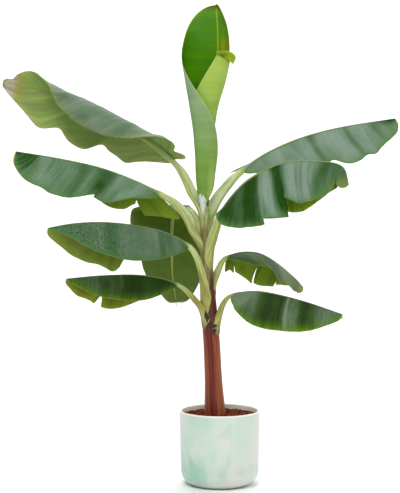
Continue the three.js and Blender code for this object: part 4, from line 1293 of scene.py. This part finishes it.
def make_threads(leaf):
    """Dried threads that hang from the tip of a drooping leaf."""
    start, _ = rails_of(leaf)[1].at(0.99)
    t = np.linspace(0, 1, THREADS["rings"])[:, None]
    ring = THREADS["radius"] * (1 - 0.6 * t[..., None]) * outward(circle(THREADS["sides"]))
    threads, faces = [], []
    for k, reach in enumerate(THREADS["reaches"]):
        seed = SEEDS["threads"] + k
        aside = 5 * wander(3 * t, seed) + THREADS["spread"] * (k - 1)
        line = start + stacked(aside * t, 3 * wander(3 * t, seed + 10) * t, -reach * t)
        faces += tube_faces(*ring.shape[:2], first=k * THREADS["rings"] * THREADS["sides"])
        threads.append(line + ring)
    points = np.array(threads)
    threads = mesh_object("tip_threads", points, faces, (points[..., 2], points[..., 0]), (1, 0, 0))
    add_piece(threads, ["withered"])


# Camera, lights and floor

def make_camera():
    data = bpy.data.cameras.new("photo_camera")
    data.sensor_width = CAMERA["sensor"]
    data.lens = CAMERA["focal_px"] * CAMERA["sensor"] / IMAGE_HEIGHT
    camera = bpy.data.objects.new("photo_camera", data)
    camera.location = [value * MM for value in CAMERA["place"]]
    camera.rotation_euler = (math.radians(90 - CAMERA["down"]), 0, 0)
    bpy.context.scene.collection.objects.link(camera)
    bpy.context.scene.camera = camera


def make_lights():
    world = bpy.data.worlds.new("studio")
    world.use_nodes = True
    sky = world.node_tree.nodes["Background"]
    sky.inputs["Color"].default_value = WORLD["colour"]
    sky.inputs["Strength"].default_value = WORLD["strength"]
    bpy.context.scene.world = world
    for name, place, aim, size, watts in LAMPS:
        data = bpy.data.lights.new(name, "AREA")
        data.size = size * MM
        data.energy = watts
        lamp = bpy.data.objects.new(name, data)
        place, aim = np.array(place) * MM, np.array(aim) * MM
        lamp.location = place
        lamp.rotation_euler = Vector(aim - place).to_track_quat("-Z", "Y").to_euler()
        bpy.context.scene.collection.objects.link(lamp)


def make_floor():
    """A pale floor that curves up into a wall far behind."""
    reach, back, bend, high = (FLOOR[key] for key in ("reach", "back", "bend", "high"))
    line = [(-reach, 0), (back - bend, 0)]
    turn = np.linspace(0.05, np.pi / 2, 24)
    line += [(back - bend + bend * math.sin(t), bend - bend * math.cos(t)) for t in turn]
    line.append((back, high))
    points = [(x, y, z) for y, z in line for x in (-reach, reach)]
    faces = [[2 * i, 2 * i + 1, 2 * i + 3, 2 * i + 2] for i in range(len(line) - 1)]
    floor = mesh_object("studio_floor", points, faces)
    floor.data.materials.append(floor_finish())


FINISHES = {
    "glaze": glaze_finish(),
    "soil": soil_finish(),
    "crumbs": crumb_finish(),
    "stem": stem_finish(),
    "limb": limb_finish(),
    "margin": margin_finish(),
    "spear_inner": spear_inner_finish(),
    "spear_outer": spear_outer_finish(),
    "papery": papery_finish(),
    "withered": withered_finish(),
}
for kind_of_leaf in LEAF_COLOURS:
    FINISHES[f"upper_{kind_of_leaf}"] = upper_finish(kind_of_leaf)
    FINISHES[f"under_{kind_of_leaf}"] = under_finish(kind_of_leaf)

make_camera()
make_lights()
make_floor()
make_pot()
make_soil()
make_stem()
make_spear()
make_lip()
for count, row in enumerate(SCRAPS):
    make_scrap(*row, SEEDS["scraps"] + 5 * count)
for banana_leaf in LEAVES:
    make_limb(banana_leaf)
    make_blade(banana_leaf)
    if banana_leaf["name"] == THREADS["leaf"]:
        make_threads(banana_leaf)

bpy.context.scene.view_settings.view_transform = "Standard"
